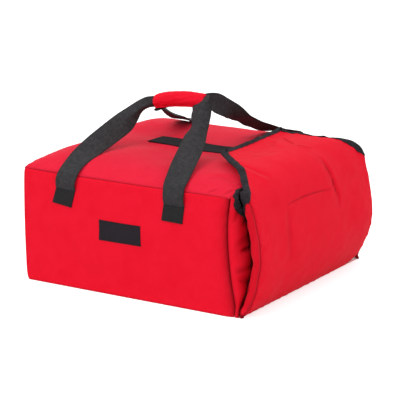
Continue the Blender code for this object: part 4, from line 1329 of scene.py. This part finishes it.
def threads(name, lines, looks, pitch=0.0036, length=0.0024, thick=0.00055):
    """Rows of stitches: along each line of places and face directions, small pods at one pitch,
    each a ring-shaped skin of six sides that swells in its middle and dips in at both ends."""
    sides = 6
    turn = np.linspace(0, 2 * np.pi, sides, endpoint=False)
    along = np.array((-1.0, -0.72, 0.0, 0.72, 1.0))
    fat = np.array((0.25, 0.85, 1.0, 0.85, 0.25))
    lift = np.array((-0.6, 0.1, 0.5, 0.1, -0.6))
    points, faces, count = [], [], 0
    ring, each = np.arange(sides), sides * len(along)
    after = np.roll(ring, -1)
    quads = np.concatenate([
        np.stack((ring, after, after + sides, ring + sides), -1) + sides * k for k in range(len(along) - 1)
    ])
    for path, face in lines:
        path, face = np.asarray(path, float), np.broadcast_to(np.asarray(face, float), np.shape(path))
        walked = np.concatenate(((0.0,), np.cumsum(np.linalg.norm(np.diff(path, axis=0), axis=1))))
        at = np.arange(pitch / 2, walked[-1], pitch)
        spot = np.stack([np.interp(at, walked, column) for column in path.T], -1)
        up = np.stack([np.interp(at, walked, column) for column in face.T], -1)
        ahead = np.stack([np.interp(at, walked, column) for column in walk(path).T], -1)
        up = up - ahead * (up * ahead).sum(-1, keepdims=True)
        up = up / np.linalg.norm(up, axis=-1, keepdims=True)
        side = np.cross(ahead, up)
        pods = spot[:, None, None] + ahead[:, None, None] * (along * length / 2)[:, None, None]
        raised = lift[:, None] + 0.5 * fat[:, None] * np.sin(turn)
        pods = pods + up[:, None, None] * (thick * raised)[..., None]
        pods = pods + side[:, None, None] * (thick * 0.5 * fat[:, None] * np.cos(turn))[..., None]
        points.append(pods.reshape(-1, 3))
        start = count + each * np.arange(len(at))
        faces += (start[:, None, None] + quads[None]).reshape(-1, 4).tolist()
        faces += (start[:, None] + ring[::-1]).tolist() + (start[:, None] + each - sides + ring).tolist()
        count += each * len(at)
    points = np.concatenate(points)
    return piece_from(name, points, faces, looks, points[:, :2])


black_thread = nap_look("black_thread", (0.020, 0.019, 0.021), (0.060, 0.058, 0.062), 0.5, 0.0001, 1500.0)
for tab_name, side, (low_x, high_x), lean in TABS:
    s, t = np.meshgrid(toward_ends(30, 0.8), toward_ends(36, 0.8), indexing="ij")
    across = (2 * t - 1) * WEB_HALF
    x = low_x + s * (high_x - low_x) + across
    z = TAB_LOW + s * (STITCH_Z - TAB_LOW) - lean * across * (1 - s) * 1.2
    y = side * (HALF_WIDTH + side_swell(x, z, side) + 0.0002)
    near = np.stack((x, y, z), -1)
    toward_out = near[:, ::-1] if side < 0 else near
    # Painted shadow: each tab is darkened most of the way to the deep tone, as under the loose strap above
    # it.
    tab = slab(f"{tab_name}_webbing_tab", toward_out, WEB_THICK, (webbing,), 0.0010, 0.80)
    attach(tab, "bag_body")
    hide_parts(f"{tab_name}_handle_tab")
    rows = []
    for level in (0.09, 0.20, 0.86, 0.95):
        row = round(level * (len(near) - 1))
        rows.append((near[row, 3:-3] + (0, side * WEB_THICK * 1.02, 0), (0, side, 0)))
    sewn = threads(f"{tab_name}_tab_stitches", rows, (black_thread,), 0.0034, 0.0026, 0.0007)
    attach(sewn, "bag_body")

# --- Grip wrap. A padded nylon cover sewn to the front handle closes round both straps and ends
# in a tongue, whose black hook tape presses on loop tape under the grip.
PAD_INNER, PAD_OUTER = 0.0108, 0.0119
COVER_IN, COVER_OUT = 0.0120, 0.0130
TONGUE_STEP = 0.0028
TONGUE_DEG = -121.0
TAPE_TIP = 0.0080


def round_grip(
    name, start_deg, end_deg, inner, outer, looks, lift=0.0, half=GRIP_HALF, rows=70, columns=60, plump=0.0,
    tip=0.0,
):
    """A curved sheet about the grip between two angles. It bows with the grip, draws in over its
    last few millimetres at both ends, and past the underside steps out by a lift."""
    degrees = np.linspace(start_deg, end_deg, rows)[:, None] + np.zeros((1, columns))
    share = 2 * toward_ends(columns, 0.85)[None] - 1
    x = GRIP_X + half * share + 0 * degrees
    stepped = ease((-62.0 - degrees) / 22.0) * lift
    stepped = stepped * (1 - 0.55 * ease((-111.0 - degrees) / 10.0))
    stepped = stepped + tip * np.clip(1 - (x - GRIP_X + half) / 0.044, 0, 1) * ease((-78.0 - degrees) / 26.0)
    taper = 1 - 0.26 * (1 - np.sqrt(1 - np.clip(1 - (1 - np.abs(share)) * half / 0.010, 0, 1) ** 2))
    soft = plump * (0.4 * uneven(x, degrees / 900, 0.026, 131) + 0.8 * np.sqrt(1 - share**2).clip(0, 1))
    turn = np.radians(degrees)
    out = np.stack((0 * turn, np.cos(turn), np.sin(turn)), -1)
    centre = np.stack((x, GRIP_Y + 0 * x, grip_rise(x)), -1)
    faces = [centre + out * ((radius + stepped) * taper + soft)[..., None] for radius in (outer, inner)]
    return pad(name, faces[0], faces[1], looks)


cover_front = round_grip(
    "grip_cover_sewn_half", 268.0, 32.0, COVER_IN, COVER_OUT, (nylon,), rows=110, plump=0.0006,
)
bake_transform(cover_front)
cover_back = round_grip(
    "grip_cover_closing_half", 31.5, TONGUE_DEG, COVER_IN, COVER_OUT, (nylon,), TONGUE_STEP, plump=0.0006,
)
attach(cover_back, "grip_wrap")
for node, name, first, last, body in (
    ("grip_pad_sewn_half", "grip_padding_sewn_half", 268.0, 92.0, "front_handle"),
    ("grip_pad_closing_half", "grip_padding_closing_half", 88.0, -88.0, "grip_wrap"),
):
    piece = round_grip(name, first, last, PAD_INNER, PAD_OUTER, (backing,), half=0.0560)
    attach(piece, body)
    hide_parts(node)
for piece, node in ((cover_front, "grip_wrap_sewn_half"), (cover_back, "grip_wrap_closing_half")):
    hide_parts(node)
tongue_loop = round_grip(
    "grip_loop_tape_strip", -82.0, TONGUE_DEG + 11, COVER_OUT + 0.0003, COVER_OUT + 0.0009, (loop_nap,),
    rows=24, half=0.053,
)
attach(tongue_loop, "front_handle")
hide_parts("grip_loop_tape")
tongue_hook = round_grip(
    "grip_hook_tape_strip", -80.0, TONGUE_DEG + 13, COVER_IN + TONGUE_STEP - 0.0008,
    COVER_IN + TONGUE_STEP - 0.0002, (hook_nap,), half=0.0575, rows=24, tip=TAPE_TIP,
)
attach(tongue_hook, "grip_wrap")
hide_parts("grip_hook_tape")

# --- Label patch. A bare woven patch sewn round its border to the front panel.
LABEL_X = (-0.0620, 0.0308)
LABEL_Z = (0.1018, 0.1402)
PATCH = 0.0009
patch_black = web_look(
    "label_weave", (0.007, 0.005, 0.009), (0.014, 0.010, 0.017), (0.004, 0.003, 0.005), 0.0007, 0.6,
)
s, t = np.meshgrid(toward_ends(34, 0.8), toward_ends(56, 0.8), indexing="ij")
x, z = LABEL_X[1] + t * (LABEL_X[0] - LABEL_X[1]), LABEL_Z[0] + s * (LABEL_Z[1] - LABEL_Z[0])
near = np.stack((x, -(HALF_WIDTH + side_swell(x, z, -1) + 0.0002), z), -1)
# Painted shade darkens the patch round its edges.
patch = slab("front_label_weave", near, PATCH, (patch_black,), 0.0007)
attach(patch, "bag_body")
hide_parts("front_label_patch")
inset = near[2:-2, 2:-2] + (0, -PATCH, 0)
border = np.concatenate((inset[0], inset[1:, -1], inset[-1, -2::-1], inset[-2:0:-1, 0]))
sewn = threads("front_label_stitches", [(border, (0, -1, 0))], (black_thread,), 0.0026, 0.0019, 0.0005)
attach(sewn, "bag_body")
